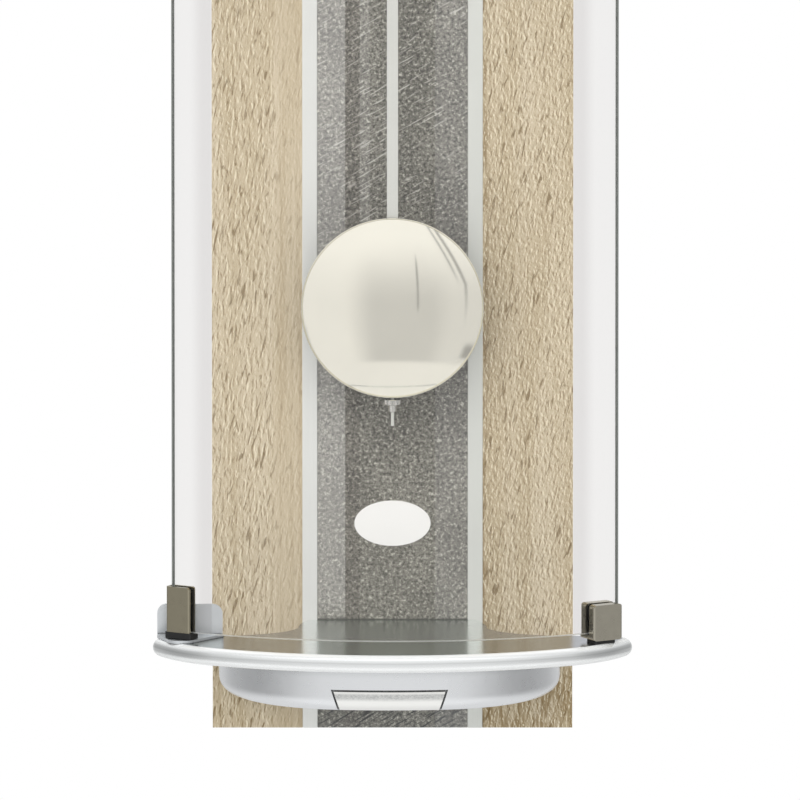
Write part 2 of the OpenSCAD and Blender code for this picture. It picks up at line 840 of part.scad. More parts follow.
pressure_a = 25;
backlash = 0.06;

function involute(a) = tan(a) * 180 / PI - a;

// Half the angle of a tooth at radius r
function tooth_half(r, m, z) =
    let (pitch_r = m * z / 2, base_r = pitch_r * cos(pressure_a))
    90 / z - backlash / pitch_r * 90 / PI + involute(pressure_a) - involute(acos(min(1, base_r / r)));

function gear_points(m, z) =
    let (
        root_r = m * (z / 2 - 1.1),
        tip_r = m * (z / 2 + 0.8),
        flank_r = max(root_r, m * z / 2 * cos(pressure_a)),
        radii = [root_r, flank_r + 0.01, (flank_r + tip_r) / 2, tip_r]
    )
    [
        for (i = [0 : z - 1], k = [0 : 7])
            let (
                r = k < 4 ? radii[k] : radii[7 - k],
                half = tooth_half(r, m, z),
                a = 360 * i / z + (k < 4 ? -half : half)
            )
            [r * cos(a), r * sin(a)]
    ];

// A spur gear with its first tooth along direction a, from depth y forwards by t
module gear(m, z, y, t, a) { forward(y, t) rotate(a) polygon(gear_points(m, z)); }

// Turn of a gear that has a gap, and not a tooth, along direction a
function gap_a(a, z) = a + 180 / z;

// Movement

module housing_outline(inset) {
    h = housing_top - housing_bottom;
    translate([0, (housing_top + housing_bottom) / 2])
        rounded_rect(housing_w - 2 * inset, h - 2 * inset, 4 - inset);
}

module cover_screw_places() {
    for (x = [-1, 1], z = [housing_top - cover_screw_in, housing_bottom + cover_screw_in])
        translate([x * (housing_w / 2 - cover_screw_in), 0, z]) children();
}

module movement_housing() {
    depth = cover_in_y - housing_in_y;
    cradle_x = battery_len / 3;
    color("dimgray") at_dial() difference() {
        union() {
            difference() {
                forward(cover_in_y, depth + housing_wall) housing_outline(0);
                forward(cover_in_y + 1, depth + 1) housing_outline(housing_wall);
            }
            intersection() {
                forward(cover_in_y, depth + housing_wall) housing_outline(0);
                cover_screw_places() shaft(cover_in_y, depth + 1, 3);
            }
            shaft(housing_in_y, housing_in_y - bush_end_y, bush_r);
            at_axis(minute_wheel_at) shaft(minute_layer_y - 0.1, minute_layer_y - 0.1 - housing_in_y + 1, post_r);
            for (x = [-1, 1]) {
                translate([x * 20, 0, board_at]) shaft(housing_in_y + 1, 2, 2);
                translate([x * cradle_x - 1, dial_y + 1, battery_at - battery_r - 1])
                    cube([2, depth / 2, 2 * battery_r + 2]);
            }
        }
        shaft(cover_in_y + 1, big, pipe_r + run);
        cover_screw_places() shaft(cover_in_y + 1, cover_screw_len + 1, small_screw_r);
        translate([0, battery_y(), battery_at]) rotate([0, 90, 0])
            cylinder(r = battery_r + run, h = battery_len, center = true);
    }
}

function battery_y() = (cover_in_y + housing_in_y) / 2;

module movement_cover() {
    color("dimgray") at_dial() difference() {
        union() {
            forward(cover_y, housing_wall) housing_outline(0);
            translate([0, 0, coil_at]) shaft(cover_in_y + 0.5, coil_t + 0.5, core_r);
        }
        shaft(cover_y + 1, housing_wall + 2, arbor_r - 0.5 + run);
        at_axis(knob_at) shaft(cover_y + 1, housing_wall + 2, arbor_r + run);
        translate([0, 0, pivot_up]) shaft(cover_y + 1, housing_wall + 2, pivot_r);
        cover_screw_places() shaft(cover_y + 1, housing_wall + 2, small_screw_r + run);
    }
}

module cover_screws() {
    color("silver") at_dial() cover_screw_places() {
        shaft(cover_y, cover_screw_len, small_screw_r - run);
        shaft(cover_y + small_head_t, small_head_t, small_head_r);
    }
}

module centre_nut() {
    color("gold") at_dial() difference() {
        forward(dial_y - dial_t, centre_nut_t) circle(centre_nut_r, $fn = 6);
        shaft(dial_y, centre_nut_t + dial_t + 1, bush_r + run);
    }
}

module stepper_motor() {
    front = train_layer_y + clear;
    color("gray") at_dial() at_axis(motor_at) difference() {
        shaft(cover_in_y, cover_in_y - front, motor_r);
        shaft(front + 5, 6, post_r + run);
    }
}

module motor_pinion() {
    color("ivory") at_dial() at_axis(motor_at) {
        gear(train_module, pinion_teeth, train_layer_y, train_layer_t, gap_a(180, pinion_teeth));
        shaft(train_layer_y + clear + 4.8, 4.8 + clear + train_layer_t, post_r);
    }
}

module minute_arbor() {
    color("goldenrod") at_dial() {
        gear(train_module, centre_wheel_teeth, train_layer_y, train_layer_t, 0);
        gear(motion_module, pinion_teeth, minute_layer_y, minute_layer_t, 180);
        shaft(train_layer_y, train_layer_y - minute_layer_y + 1, arbor_r + 0.6);
        shaft(cover_y - 0.2, 3, arbor_r - 0.5);
        shaft(cover_in_y - clear, cover_in_y - clear - pipe_end_y, arbor_r);
        shaft(pipe_end_y + 1, 1 + pipe_end_y - minute_hand_y + hand_t + 1.4, hand_pivot_r);
    }
}

module minute_wheel() {
    color("ivory") at_dial() at_axis(minute_wheel_at) difference() {
        union() {
            gear(motion_module, minute_wheel_teeth, minute_layer_y, minute_layer_t, gap_a(0, minute_wheel_teeth));
            gear(hour_module, pinion_teeth, minute_layer_y - 1, minute_layer_y - 1 - hour_layer_y + hour_layer_t, 0);
        }
        shaft(minute_layer_y + 1, big / 10, post_r + run);
    }
}

module hour_wheel() {
    color("ivory") at_dial() difference() {
        union() {
            gear(hour_module, hour_wheel_teeth, hour_layer_y, hour_layer_t, gap_a(180, hour_wheel_teeth));
            shaft(hour_layer_y, hour_layer_y - pipe_end_y, pipe_r);
        }
        shaft(hour_layer_y + 1, big / 10, arbor_r + run);
    }
}

module setting_knob() {
    color("ivory") at_dial() at_axis(knob_at) {
        gear(motion_module, pinion_teeth, minute_layer_y, minute_layer_t, knob_a + knob_tooth_a());
        shaft(cover_y + clear + 1, cover_y + clear + 1 - minute_layer_y, arbor_r);
        shaft(cover_y + clear + knob_t, knob_t, knob_r);
    }
}

// Turn that meets the minute wheel's teeth: the wheel's tooth or gap nearest the knob's direction sets it
function knob_tooth_a() =
    let (
        pitch = 360 / minute_wheel_teeth,
        past = (knob_a - gap_a(0, minute_wheel_teeth)) / pitch,
        part = past - floor(past)
    )
    180 + 180 / pinion_teeth + part * 360 / pinion_teeth;

module circuit_board() {
    color("darkgreen") at_dial() translate([0, 0, board_at])
        forward(housing_in_y + 2.2, 1.2) rounded_rect(50, 9, 0.5);
}

module drive_coil() {
    color("peru") at_dial() translate([0, 0, coil_at]) difference() {
        shaft(cover_in_y, coil_t, coil_r);
        shaft(cover_in_y + 1, coil_t + 2, core_r + run);
    }
}

module battery() {
    color("orange") at_dial() translate([0, battery_y(), battery_at]) rotate([0, 90, 0]) {
        cylinder(r = battery_r, h = battery_len - 1.5, center = true);
        cylinder(r = battery_r / 3, h = battery_len / 2);
    }
}

module battery_contacts() {
    reach = housing_w / 2 - housing_wall;
    color("silver") at_dial() for (s = [-1, 1]) translate([0, battery_y(), battery_at]) {
        inner = s > 0 ? battery_len / 2 : battery_len / 2 - 0.75;
        mirror([s > 0 ? 0 : 1, 0, 0]) {
            translate([inner, -contact_w / 2, -contact_w / 2]) {
                cube([contact_t, contact_w, contact_w]);
                cube([reach - inner, contact_w, contact_t]);
            }
        }
    }
}

// Hands

// A tapered hand with a round boss, pointing a degrees clockwise from twelve
module hand(len, tail, w_root, w_tip, boss_r) {
    circle(boss_r);
    polygon([[-w_root / 2, -tail], [w_root / 2, -tail], [w_tip / 2, len], [-w_tip / 2, len]]);
}

module hour_hand() {
    color("black") at_dial() forward(hour_hand_y, hand_t) difference() {
        rotate(-hour_hand_a) hand(hour_len, 14, 6, 3.4, 6);
        circle(pipe_r + 0.02);
    }
}

module minute_hand() {
    color("black") at_dial() forward(minute_hand_y, hand_t) difference() {
        rotate(-minute_hand_a) hand(minute_len, 18, 4.6, 2.2, 5);
        circle(hand_pivot_r + 0.02);
    }
}

module hand_nut() {
    y = minute_hand_y - hand_t;
    color("silver") at_dial() difference() {
        shaft(y, hand_nut_t, 3);
        shaft(y + 1, hand_nut_t + 0.5, hand_pivot_r + 0.02);
    }
}

// Pendulum

module pivot_pin() {
    color("silver") at_dial() translate([0, 0, pivot_up])
        shaft(lever_y + lever_t + clear + clip_t + 0.6, lever_t + 2 * clear + clip_t + housing_wall + 0.6, pivot_r);
}

module pivot_clip() {
    color("dimgray") at_dial() translate([0, 0, pivot_up]) difference() {
        shaft(lever_y + lever_t + clear / 2 + clip_t, clip_t, pivot_r + 2);
        shaft(lever_y + lever_t + 5, 10, pivot_r + 0.02);
    }
}

module pendulum_lever() {
    hub_r = pivot_r + 3;
    back = lever_y + lever_t;
    rod_front = rod_y - rod_t / 2;
    color("ivory") at_dial() difference() {
        union() {
            translate([0, 0, pivot_up]) shaft(back, lever_t, hub_r);
            translate([-arm_w / 2, back - arm_t, hook_at]) cube([arm_w, arm_t, pivot_up - hook_at]);
            translate([0, 0, coil_at]) shaft(back, arm_t, drive_magnet_r + 2);
            translate([0, 0, hook_at]) {
                shaft(back, arm_t, arm_w / 2);
                shaft(rod_front - 0.1, rod_front - 0.1 - back + 1, hook_r + 1.5);
                shaft(rod_y + rod_t / 2 + 1, rod_y + rod_t / 2 + 1 - back + 1, hook_r);
            }
        }
        translate([0, 0, pivot_up]) shaft(back + 1, big / 10, pivot_r + run);
        translate([0, 0, coil_at]) shaft(back + 1, big / 10, drive_magnet_r);
    }
}

module drive_magnet() {
    color("gray") at_dial() translate([0, 0, coil_at])
        shaft(lever_y + lever_t, lever_t, drive_magnet_r - 0.02);
}

module pendulum_rod() {
    eye_z = dial_z + hook_at;
    color("gainsboro") {
        difference() {
            union() {
                forward(rod_y + rod_t / 2, rod_t)
                    translate([-rod_w / 2, rod_end_z]) square([rod_w, eye_z - rod_end_z]);
                translate([0, 0, eye_z]) shaft(rod_y + rod_t / 2, rod_t, eye_r);
            }
            translate([0, 0, eye_z]) shaft(rod_y + rod_t, 2 * rod_t, hook_r + 0.02);
        }
        intersection() {
            translate([0, rod_y, thread_end_z]) cylinder(r = thread_r, h = rod_end_z - thread_end_z + 2);
            translate([-rod_w, rod_y - rod_t / 2, 0]) cube([2 * rod_w, rod_t, big]);
        }
        translate([0, rod_y, thread_end_z]) cylinder(r = thread_r, h = rod_end_z - thread_end_z);
    }
}

module bob_front() {
    color("whitesmoke") translate([0, bob_front_y, bob_z]) rotate([90, 0, 0]) intersection() {
        difference() {
            translate([0, 0, bob_bulge - bob_sphere_r]) sphere(bob_sphere_r, $fn = 200);
            translate([0, 0, bob_bulge - bob_sphere_r]) sphere(bob_sphere_r - bob_shell, $fn = 200);
        }
        cylinder(r = bob_r + 1, h = bob_bulge + 1, $fn = 200);
    }
}

module bob_back() {
    color("silver") translate([0, 0, bob_z]) shaft(guide_front_y, bob_shell, bob_r - 0.2);
}

// A channel on the back of the bob that slides on the rod
module bob_guide() {
    back = rod_y + rod_t / 2 + guide_fit + guide_wall;
    slot_w = rod_w + 2 * guide_fit;
    top = bob_z + bob_r * 0.9;
    h = top - guide_foot_z;
    color("dimgray") difference() {
        translate([-guide_w / 2, guide_front_y, guide_foot_z]) cube([guide_w, back - guide_front_y, h]);
        translate([-slot_w / 2, guide_front_y - 1, guide_foot_z - 1])
            cube([slot_w, back - guide_wall - guide_front_y + 1, h + 2]);
    }
}

module rating_nut() {
    color("whitesmoke") translate([0, rod_y, nut_top_z]) mirror([0, 0, 1]) difference() {
        union() {
            cylinder(r = nut_r, h = nut_h);
            cylinder(r = nut_neck_r, h = nut_h + nut_neck_h);
        }
        translate([0, 0, -1]) cylinder(r = thread_r + run, h = nut_h + nut_neck_h + 2);
    }
}

hung() {
    back_board();
    slate_inlay();
    trim_strip_left();
    trim_strip_right();
    label_plate();
    hanger_plate();
    hanger_screws();
    base_tray();
    base_bowl();
    base_hatch();
    top_tray();
    top_bowl();
    tray_screws();
    hinge_bracket_lower();
    hinge_bracket_upper();
    hinge_bushes();
    catch_magnets();
    glass_pane();
    hinge_clamp_lower();
    hinge_clamp_upper();
    catch_clamp_lower();
    catch_clamp_upper();
    clamp_linings();
    clamp_screws();
    hinge_shoes();
    hinge_pins();
    dial_plate();
    hour_markers();
    dial_feet();
    dial_foot_screws();
    movement_housing();
    movement_cover();
    cover_screws();
    centre_nut();
    stepper_motor();
    motor_pinion();
    minute_arbor();
    minute_wheel();
    hour_wheel();
    setting_knob();
    circuit_board();
    drive_coil();
    battery();
    battery_contacts();
    hour_hand();
    minute_hand();
    hand_nut();
    pivot_pin();
    pivot_clip();
    pendulum_lever();
    drive_magnet();
    pendulum_rod();
    bob_front();
    bob_back();
    bob_guide();
    rating_nut();
}
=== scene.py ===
"""Pendulum wall clock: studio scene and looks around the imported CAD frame."""

import json
import math

import bpy
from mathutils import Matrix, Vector


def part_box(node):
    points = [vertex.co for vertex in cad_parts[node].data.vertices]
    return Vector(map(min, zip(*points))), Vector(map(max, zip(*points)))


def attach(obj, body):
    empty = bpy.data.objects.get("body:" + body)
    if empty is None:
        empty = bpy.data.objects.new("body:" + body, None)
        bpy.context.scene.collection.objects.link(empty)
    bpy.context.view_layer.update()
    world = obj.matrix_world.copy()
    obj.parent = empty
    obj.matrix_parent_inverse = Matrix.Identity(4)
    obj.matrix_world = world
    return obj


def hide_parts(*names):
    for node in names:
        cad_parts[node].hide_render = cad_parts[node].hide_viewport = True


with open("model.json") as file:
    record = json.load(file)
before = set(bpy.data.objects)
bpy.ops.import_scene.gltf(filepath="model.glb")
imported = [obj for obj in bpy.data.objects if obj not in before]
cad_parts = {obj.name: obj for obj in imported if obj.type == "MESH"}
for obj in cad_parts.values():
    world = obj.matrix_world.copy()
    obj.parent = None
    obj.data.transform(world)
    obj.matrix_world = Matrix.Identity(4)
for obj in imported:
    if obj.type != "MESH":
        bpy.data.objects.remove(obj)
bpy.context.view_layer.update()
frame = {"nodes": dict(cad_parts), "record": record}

MM = 0.001


# Small helpers

def srgb(red, green, blue):
    """Linear RGBA of a display colour given as 0 to 255."""
    def linear(value):
        value /= 255
        return value / 12.92 if value <= 0.04045 else ((value + 0.055) / 1.055) ** 2.4
    return (linear(red), linear(green), linear(blue), 1.0)


def grey(level):
    """Linear RGBA of an even grey."""
    return (level, level, level, 1.0)


def link(obj):
    """Puts an object in the scene and returns it."""
    bpy.context.scene.collection.objects.link(obj)
    return obj


class Nodes:
    """A node tree under construction."""

    def __init__(self, tree):
        self.tree = tree

    def put(self, socket, value):
        """Links an output to an input, or sets the input's value."""
        if isinstance(value, bpy.types.NodeSocket):
            self.tree.links.new(value, socket)
        else:
            socket.default_value = value

    def add(self, kind, inputs=None, **settings):
        """A new node with the given settings and inputs."""
        node = self.tree.nodes.new(kind)
        for key, value in settings.items():
            setattr(node, key, value)
        for key, value in (inputs or {}).items():
            self.put(node.inputs[key], value)
        return node

    def calc(self, how, a, b=0.0):
        """One value from one or two others."""
        return self.add("ShaderNodeMath", {0: a, 1: b}, operation=how).outputs[0]

    def plus(self, a, b):
        return self.calc("ADD", a, b)

    def minus(self, a, b):
        return self.calc("SUBTRACT", a, b)

    def times(self, a, b):
        return self.calc("MULTIPLY", a, b)

    def between(self, value, low, high, to_low=0.0, to_high=1.0):
        """Value moved from low..high to to_low..to_high, with soft ends."""
        node = self.add("ShaderNodeMapRange", {
            "Value": value, "From Min": low, "From Max": high, "To Min": to_low, "To Max": to_high,
        }, interpolation_type="SMOOTHSTEP")
        return node.outputs[0]

    def past(self, value, edge, soft):
        """Rises from 0 to 1 where the value passes an edge."""
        return self.between(value, edge - soft, edge + soft)

    def before(self, value, edge, soft):
        """Falls from 1 to 0 where the value passes an edge."""
        return self.between(value, edge + soft, edge - soft)

    def mix(self, share, a, b, how="MIX"):
        """Colour a, or b as the share rises to 1."""
        node = self.add("ShaderNodeMix", data_type="RGBA", blend_type=how)
        self.put(node.inputs[0], share)
        self.put(node.inputs[6], a)
        self.put(node.inputs[7], b)
        return node.outputs[2]

    def blend(self, share, a, b):
        """Shader a, or b as the share rises to 1."""
        return self.add("ShaderNodeMixShader", {0: share, 1: a, 2: b}).outputs[0]


GRAIN_MID, GRAIN_WIDE = (0.3, 0.7), (0.2, 0.8)
AO_SAMPLES = 8
# Painted shade in narrow joints and near other faces: how far other faces are looked for, how open a spot
# must be, and the shade's colour.
SEAM_REACH, SHADE_REACH = 1.5 * MM, 10 * MM
SEAM_OPEN, TRAY_OPEN, SHADE_OPEN = (0.75, 0.40), (0.85, 0.55), (0.85, 0.60)
SEAM_SHADE = srgb(38, 39, 39)


class Look(Nodes):
    """A material under construction. Textures read object coordinates, the row frame in metres."""

    def __init__(self, name, **shader):
        self.material = bpy.data.materials.new(name)
        self.material.use_nodes = True
        super().__init__(self.material.node_tree)
        self.shader = self.tree.nodes["Principled BSDF"]
        self.place = self.add("ShaderNodeTexCoord").outputs["Object"]
        self.dress(**shader)

    def dress(self, **shader):
        """Sets inputs of the main shader, such as Roughness or Base_Color."""
        for key, value in shader.items():
            self.put(self.shader.inputs[key.replace("_", " ")], value)

    def axis(self, name):
        """One object coordinate, X, Y or Z."""
        return self.add("ShaderNodeSeparateXYZ", {"Vector": self.place}).outputs[name]

    def aside(self):
        """Distance from the clock's middle plane."""
        return self.calc("ABSOLUTE", self.axis("X"))

    def grain(self, size, turn=(0, 0, 0), detail=3, rough=0.5, warp=0.0, shift=(0, 0, 0)):
        """Noise from 0 to 1 whose features have the given size in metres along each axis."""
        at = self.add(
            "ShaderNodeMapping",
            {"Vector": self.place, "Location": shift, "Scale": size,
             "Rotation": tuple(math.radians(t) for t in turn)},
            vector_type="TEXTURE",
        )
        noise = self.add("ShaderNodeTexNoise", {
            "Vector": at.outputs[0], "Scale": 1.0, "Detail": detail, "Roughness": rough, "Distortion": warp,
        })
        return noise.outputs["Fac"]

    def openness(self, reach):
        """1 in the open, and less where another face is within reach."""
        node = self.add("ShaderNodeAmbientOcclusion", {"Distance": reach}, samples=AO_SAMPLES)
        return node.outputs["AO"]

    def with_seam_shade(self, colour):
        """The colour, with painted shade in narrow joints where other faces are close."""
        return self.mix(self.between(self.openness(SEAM_REACH), *SEAM_OPEN), colour, SEAM_SHADE)

    def surface(self, shader):
        """Makes a shader the material's surface."""
        self.put(self.tree.nodes["Material Output"].inputs["Surface"], shader)

    def finish(self, colour, grain, rough, relief, strength=0.4, height=None):
        """Sets colour, a roughness range that follows the grain, and small relief. Returns the material."""
        self.dress(Base_Color=colour, Roughness=self.between(grain, *GRAIN_WIDE, *rough))
        height = grain if height is None else height
        bump = self.add("ShaderNodeBump", {"Height": height, "Strength": strength, "Distance": relief})
        self.dress(Normal=bump.outputs[0])
        return self.material


# Oak: sizes across, through and along the grain, and where its zones lie
OAK_SLANT, CRACK_SLANT = 6, 13
OAK_STREAKS, OAK_LINES = (14 * MM, 1, 300 * MM), (3 * MM, 1, 500 * MM)
BUMPS_LEFT, BUMPS_RIGHT = (1.7 * MM, 1, 5.6 * MM), (1.4 * MM, 1, 3.4 * MM)
WARP_LEFT, WARP_RIGHT = 0.5, 0.35
BUMP_SHIFT = (0.6 * MM, 0, 0.3 * MM)
CRACKS, CRACK_SHIFT = (1.6 * MM, 1, 10 * MM), (0.2, 0, 0.4)
BROWN_STREAKS = (2 * MM, 1, 20 * MM)
BAND_EDGE, BAND_SOFT, MIDDLE_SOFT = -60 * MM, 4 * MM, 2 * MM
BROWN_EDGE, BROWN_END = (49.5 * MM, 45.5 * MM), (36 * MM, 40 * MM)
BELOW_TRAY = (-605 * MM, -620 * MM)
BAND_CALM, BUMP_SHADE, CRACK_SHADE = 0.6, 0.8, 0.75
ROUGH_RELIEF = 0.3 * MM


def oak():
    """Sawn oak: broad streaks, fine bumps with painted light and shade on their sides, dark slanting cracks
    and a straight band by the left trim.
    """
    look = Look("oak", Specular_IOR_Level=0.25)
    x, z = look.axis("X"), look.axis("Z")
    round_edge = look.plus(x, look.minus(look.axis("Y"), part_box("back_board")[0].y))
    look.place = look.add("ShaderNodeCombineXYZ", {"X": round_edge, "Z": z}).outputs[0]
    left, right = look.before(x, 0, MIDDLE_SOFT), look.past(x, 0, MIDDLE_SOFT)
    band = look.times(look.past(x, BAND_EDGE, BAND_SOFT), left)
    rough = look.minus(1.0, look.times(band, BAND_CALM))

    streaks = look.grain(OAK_STREAKS, detail=4, warp=0.5)
    colour = look.mix(look.between(streaks, *GRAIN_MID), srgb(204, 190, 164), srgb(187, 171, 141))
    brown = look.times(look.between(x, *BROWN_EDGE), look.between(x, *BROWN_END))
    brown = look.calc("MAXIMUM", brown, look.times(look.between(z, *BELOW_TRAY), right))
    brown = look.times(brown, look.between(look.grain(BROWN_STREAKS), 0.4, 0.6, 0.0, 0.8))
    colour = look.mix(brown, colour, srgb(136, 113, 72))
    lines = look.grain(OAK_LINES, detail=4, rough=0.6)
    line_share = look.times(look.between(lines, 0.46, 0.64), look.between(band, 0, 1, 0.2, 0.5))
    colour = look.mix(line_share, colour, srgb(177, 159, 128))

    def raised_by(size, warp):
        """How much higher the grain is here than a little to the lower left."""
        here, beside = (
            look.grain(size, (0, OAK_SLANT, 0), 2, 0.55, warp, shift) for shift in ((0, 0, 0), BUMP_SHIFT)
        )
        return look.minus(here, beside)

    raised = look.add("ShaderNodeMix", {
        0: left, 2: raised_by(BUMPS_RIGHT, WARP_RIGHT), 3: raised_by(BUMPS_LEFT, WARP_LEFT),
    }).outputs[0]
    # Painted light and shade: each fine bump is painted lighter on one side and darker on the other, as if
    # lit from one side.
    light = look.times(look.between(raised, 0.02, 0.20), rough)
    dark = look.times(look.between(raised, -0.02, -0.20), rough)
    colour = look.mix(look.times(light, BUMP_SHADE), colour, srgb(236, 226, 200))
    colour = look.mix(look.times(dark, BUMP_SHADE), colour, srgb(140, 120, 86))
    cuts = look.grain(CRACKS, (0, CRACK_SLANT, 0), 3, 0.5, 0.5, CRACK_SHIFT)
    cracks = look.times(look.between(cuts, 0.58, 0.67), rough)
    colour = look.mix(look.times(cracks, CRACK_SHADE), colour, srgb(116, 94, 56))
    return look.finish(colour, lines, (0.55, 0.75), ROUGH_RELIEF, height=look.minus(light, cracks))


# Slate: sizes of its marks, edges of its upright zones of painted reflection and shade, and heights of its
# level ones
SLATE_CLOUDS, SALT, PITS = (20 * MM, 1, 30 * MM), (1.7 * MM, 1, 1.7 * MM), (2.6 * MM, 1, 2.6 * MM)
SCRATCHES, SCRATCH_SLANT, SCRATCH_PATCHES = (0.9 * MM, 1, 13 * MM), 60, (30 * MM, 1, 40 * MM)
PATCH_SHIFT, PIT_SHIFT = (0.01, 0, 0.02), (0.3, 0, 0.1)
PALE_EDGE, DARK_EDGE, STREAK_EDGE, RIGHT_EDGE = -23.6 * MM, -16.3 * MM, -11.3 * MM, 21.2 * MM
EDGE_SOFT = 0.3 * MM
SLATE_UPPER, SLATE_LOWER = (-500 * MM, -380 * MM), (-470 * MM, -560 * MM)
SLATE_FOOT, ABOVE_TRAY = (-610 * MM, -625 * MM), (-598 * MM, -578 * MM)
JOINT_H, JOINT_SHADE = 0.8 * MM, 0.7


def slate():
    """Grey slate: speckled grain, upright zones of painted reflection and shade, pale scratches above, dark
    ones below, pits, and a painted shade line along the tray.
    """
    look = Look("slate", Specular_IOR_Level=0.3)
    x, height = look.axis("X"), look.axis("Z")
    upper, lower = look.between(height, *SLATE_UPPER), look.between(height, *SLATE_LOWER)
    foot, above_tray = look.between(height, *SLATE_FOOT), look.between(height, *ABOVE_TRAY)

    def left_of(edge):
        return look.before(x, edge, EDGE_SOFT)

    clouds = look.grain(SLATE_CLOUDS, detail=4)
    colour = look.mix(look.between(clouds, *GRAIN_MID), srgb(106, 104, 96), srgb(128, 126, 117))
    salt = look.grain(SALT, rough=0.75, warp=0.3)
    colour = look.mix(look.between(salt, 0.52, 0.36), colour, srgb(62, 60, 54))
    colour = look.mix(look.between(salt, 0.52, 0.70), colour, srgb(196, 194, 182))
    scratch = look.grain(SCRATCHES, (0, SCRATCH_SLANT, 0), 2, 0.5, 0.4)
    patches = look.grain(SCRATCH_PATCHES, detail=1, shift=PATCH_SHIFT)
    lines = look.times(look.between(scratch, 0.57, 0.70), look.between(patches, 0.34, 0.54, 0, 0.7))
    colour = look.mix(look.times(lines, upper), colour, srgb(208, 206, 198))
    colour = look.mix(look.times(look.between(scratch, 0.46, 0.36), foot), colour, srgb(42, 42, 40))
    pits = look.between(look.grain(PITS, detail=1, shift=PIT_SHIFT), 0.76, 0.80)
    colour = look.mix(pits, colour, srgb(48, 47, 44))

    # Painted reflection and shade: pale zones at the left and right stand for a bright light mirrored in
    # the glass, a faint pale streak is painted in the upper slate, and the dark band beside the left zone
    # is painted shade.
    dark = look.minus(left_of(DARK_EDGE), left_of(PALE_EDGE))
    reflection_streak = look.minus(left_of(STREAK_EDGE), left_of(DARK_EDGE))
    for share, tint, how in (
        (look.times(left_of(PALE_EDGE), above_tray), (0.138, 0.137, 0.138, 1), "ADD"),
        (lower, (0.032, 0.030, 0.024, 1), "ADD"),
        (dark, (0.82, 0.80, 0.80, 1), "MULTIPLY"),
        (look.times(reflection_streak, upper), grey(0.055), "ADD"),
        (look.minus(1.0, left_of(RIGHT_EDGE)), (0.045, 0.045, 0.048, 1), "ADD"),
        (foot, (0.028, 0.032, 0.038, 1), "ADD"),
    ):
        colour = look.mix(share, colour, tint, how)
    # Painted shade: a dark line on the slate just above the tray, where the tray meets the board.
    tray_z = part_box("base_tray")[1].z
    painted_joint_shade = look.times(look.between(height, tray_z + JOINT_H, tray_z + JOINT_H / 2), look.minus(1.0, foot))
    colour = look.mix(look.times(painted_joint_shade, JOINT_SHADE), colour, srgb(50, 53, 46))
    return look.finish(colour, salt, (0.55, 0.8), ROUGH_RELIEF, height=look.minus(salt, pits))


# Metals: sizes and relief of their finish, and zones of the hatch, the rims and the trays, some of them
# painted reflection
EVEN, FINE, CLOUD = (20 * MM,) * 3, (4 * MM,) * 3, (30 * MM,) * 3
UPRIGHT, LEVEL = (0.5 * MM, 0.5 * MM, 60 * MM), (60 * MM, 60 * MM, 0.5 * MM)
BRUSHED, SATIN, POLISHED, MIRROR = 0.02 * MM, 0.004 * MM, 0.003 * MM, 0.002 * MM
HATCH_SPECKS = (0.9 * MM, 0.9 * MM, 0.6 * MM)
HATCH_BAND, HATCH_BAND_END = (0.6 * MM, 1.6 * MM), (5.2 * MM, 2.8 * MM)
RIM_TOP, RIM_LIP = 2.2 * MM, 2 * MM
RIM_TOP_MATT, RIM_LIP_MATT = 0.9, 0.35
REFLECTION_BAND_TOP, REFLECTION_BAND_END, REFLECTION_BAND_SOFT = 1.6 * MM, 3.5 * MM, 0.9 * MM
FOOT_IN, TRAY_SOFT = 85 * MM, 1 * MM


def metal(name, colour, rough, lines=EVEN, shade=0.06, relief=BRUSHED, metallic=1.0, seam_shade=False):
    """Metal with a fine finish. With seam shading on, painted shade darkens its narrow joints and greys it
    near other faces.
    """
    look = Look(name, Metallic=metallic)
    brushed = look.grain(lines, detail=4, rough=0.6)
    finish = look.times(brushed, look.grain(CLOUD))
    darker = tuple(c * (1 - shade) for c in colour[:3]) + (1.0,)
    tone = look.mix(look.between(finish, 0.1, 0.4), darker, colour)
    if seam_shade:
        painted_near_shade = look.between(look.openness(SHADE_REACH), *SHADE_OPEN, 0, 0.4)
        tone = look.with_seam_shade(look.mix(painted_near_shade, tone, srgb(150, 152, 153)))
    return look.finish(tone, brushed, (rough * 0.85, rough * 1.15), relief)


def hatch_metal():
    """Frosted pale metal with a greyer, speckled band below the hatch's top edge and painted shade in its
    joints.
    """
    look = Look("silver_hatch", Metallic=0.7)
    below = look.minus(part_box("base_hatch")[1].z, look.axis("Z"))
    speck = look.grain(HATCH_SPECKS, rough=0.7)
    band = look.times(look.between(below, *HATCH_BAND), look.between(below, *HATCH_BAND_END))
    band = look.times(band, look.between(speck, *GRAIN_MID, 0.45, 1.0))
    colour = look.with_seam_shade(look.mix(band, srgb(249, 249, 246), srgb(190, 191, 190)))
    return look.finish(colour, speck, (0.28, 0.36), SATIN)


def rim_metal(node):
    """A tray's satin rim metal, less mirroring along its top edge and on the lip below a grey band of
    painted reflection.
    """
    look = Look("satin_rim")
    low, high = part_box(node)
    height = look.axis("Z")
    middle = (low.z + high.z) / 2
    cloud = look.grain(FINE, detail=4, rough=0.6)
    top = look.between(height, high.z - RIM_TOP, high.z)
    lip = look.between(height, middle - RIM_LIP / 2, middle - RIM_LIP)
    # Painted reflection: a grey band across the rim stands for a dark horizon mirrored there.
    reflection_band_from, reflection_band_to = high.z - REFLECTION_BAND_TOP, high.z - REFLECTION_BAND_END
    reflection_band = look.times(
        look.between(height, reflection_band_from, reflection_band_from - REFLECTION_BAND_SOFT),
        look.between(height, reflection_band_to - REFLECTION_BAND_SOFT, reflection_band_to),
    )
    colour = look.mix(cloud, srgb(248, 250, 250), srgb(251, 253, 253))
    colour = look.mix(reflection_band, colour, srgb(222, 224, 224))
    mirroring = look.minus(1.0, look.times(top, RIM_TOP_MATT))
    look.dress(Metallic=look.minus(mirroring, look.times(lip, RIM_LIP_MATT)))
    return look.finish(colour, cloud, (0.20, 0.25), MIRROR)


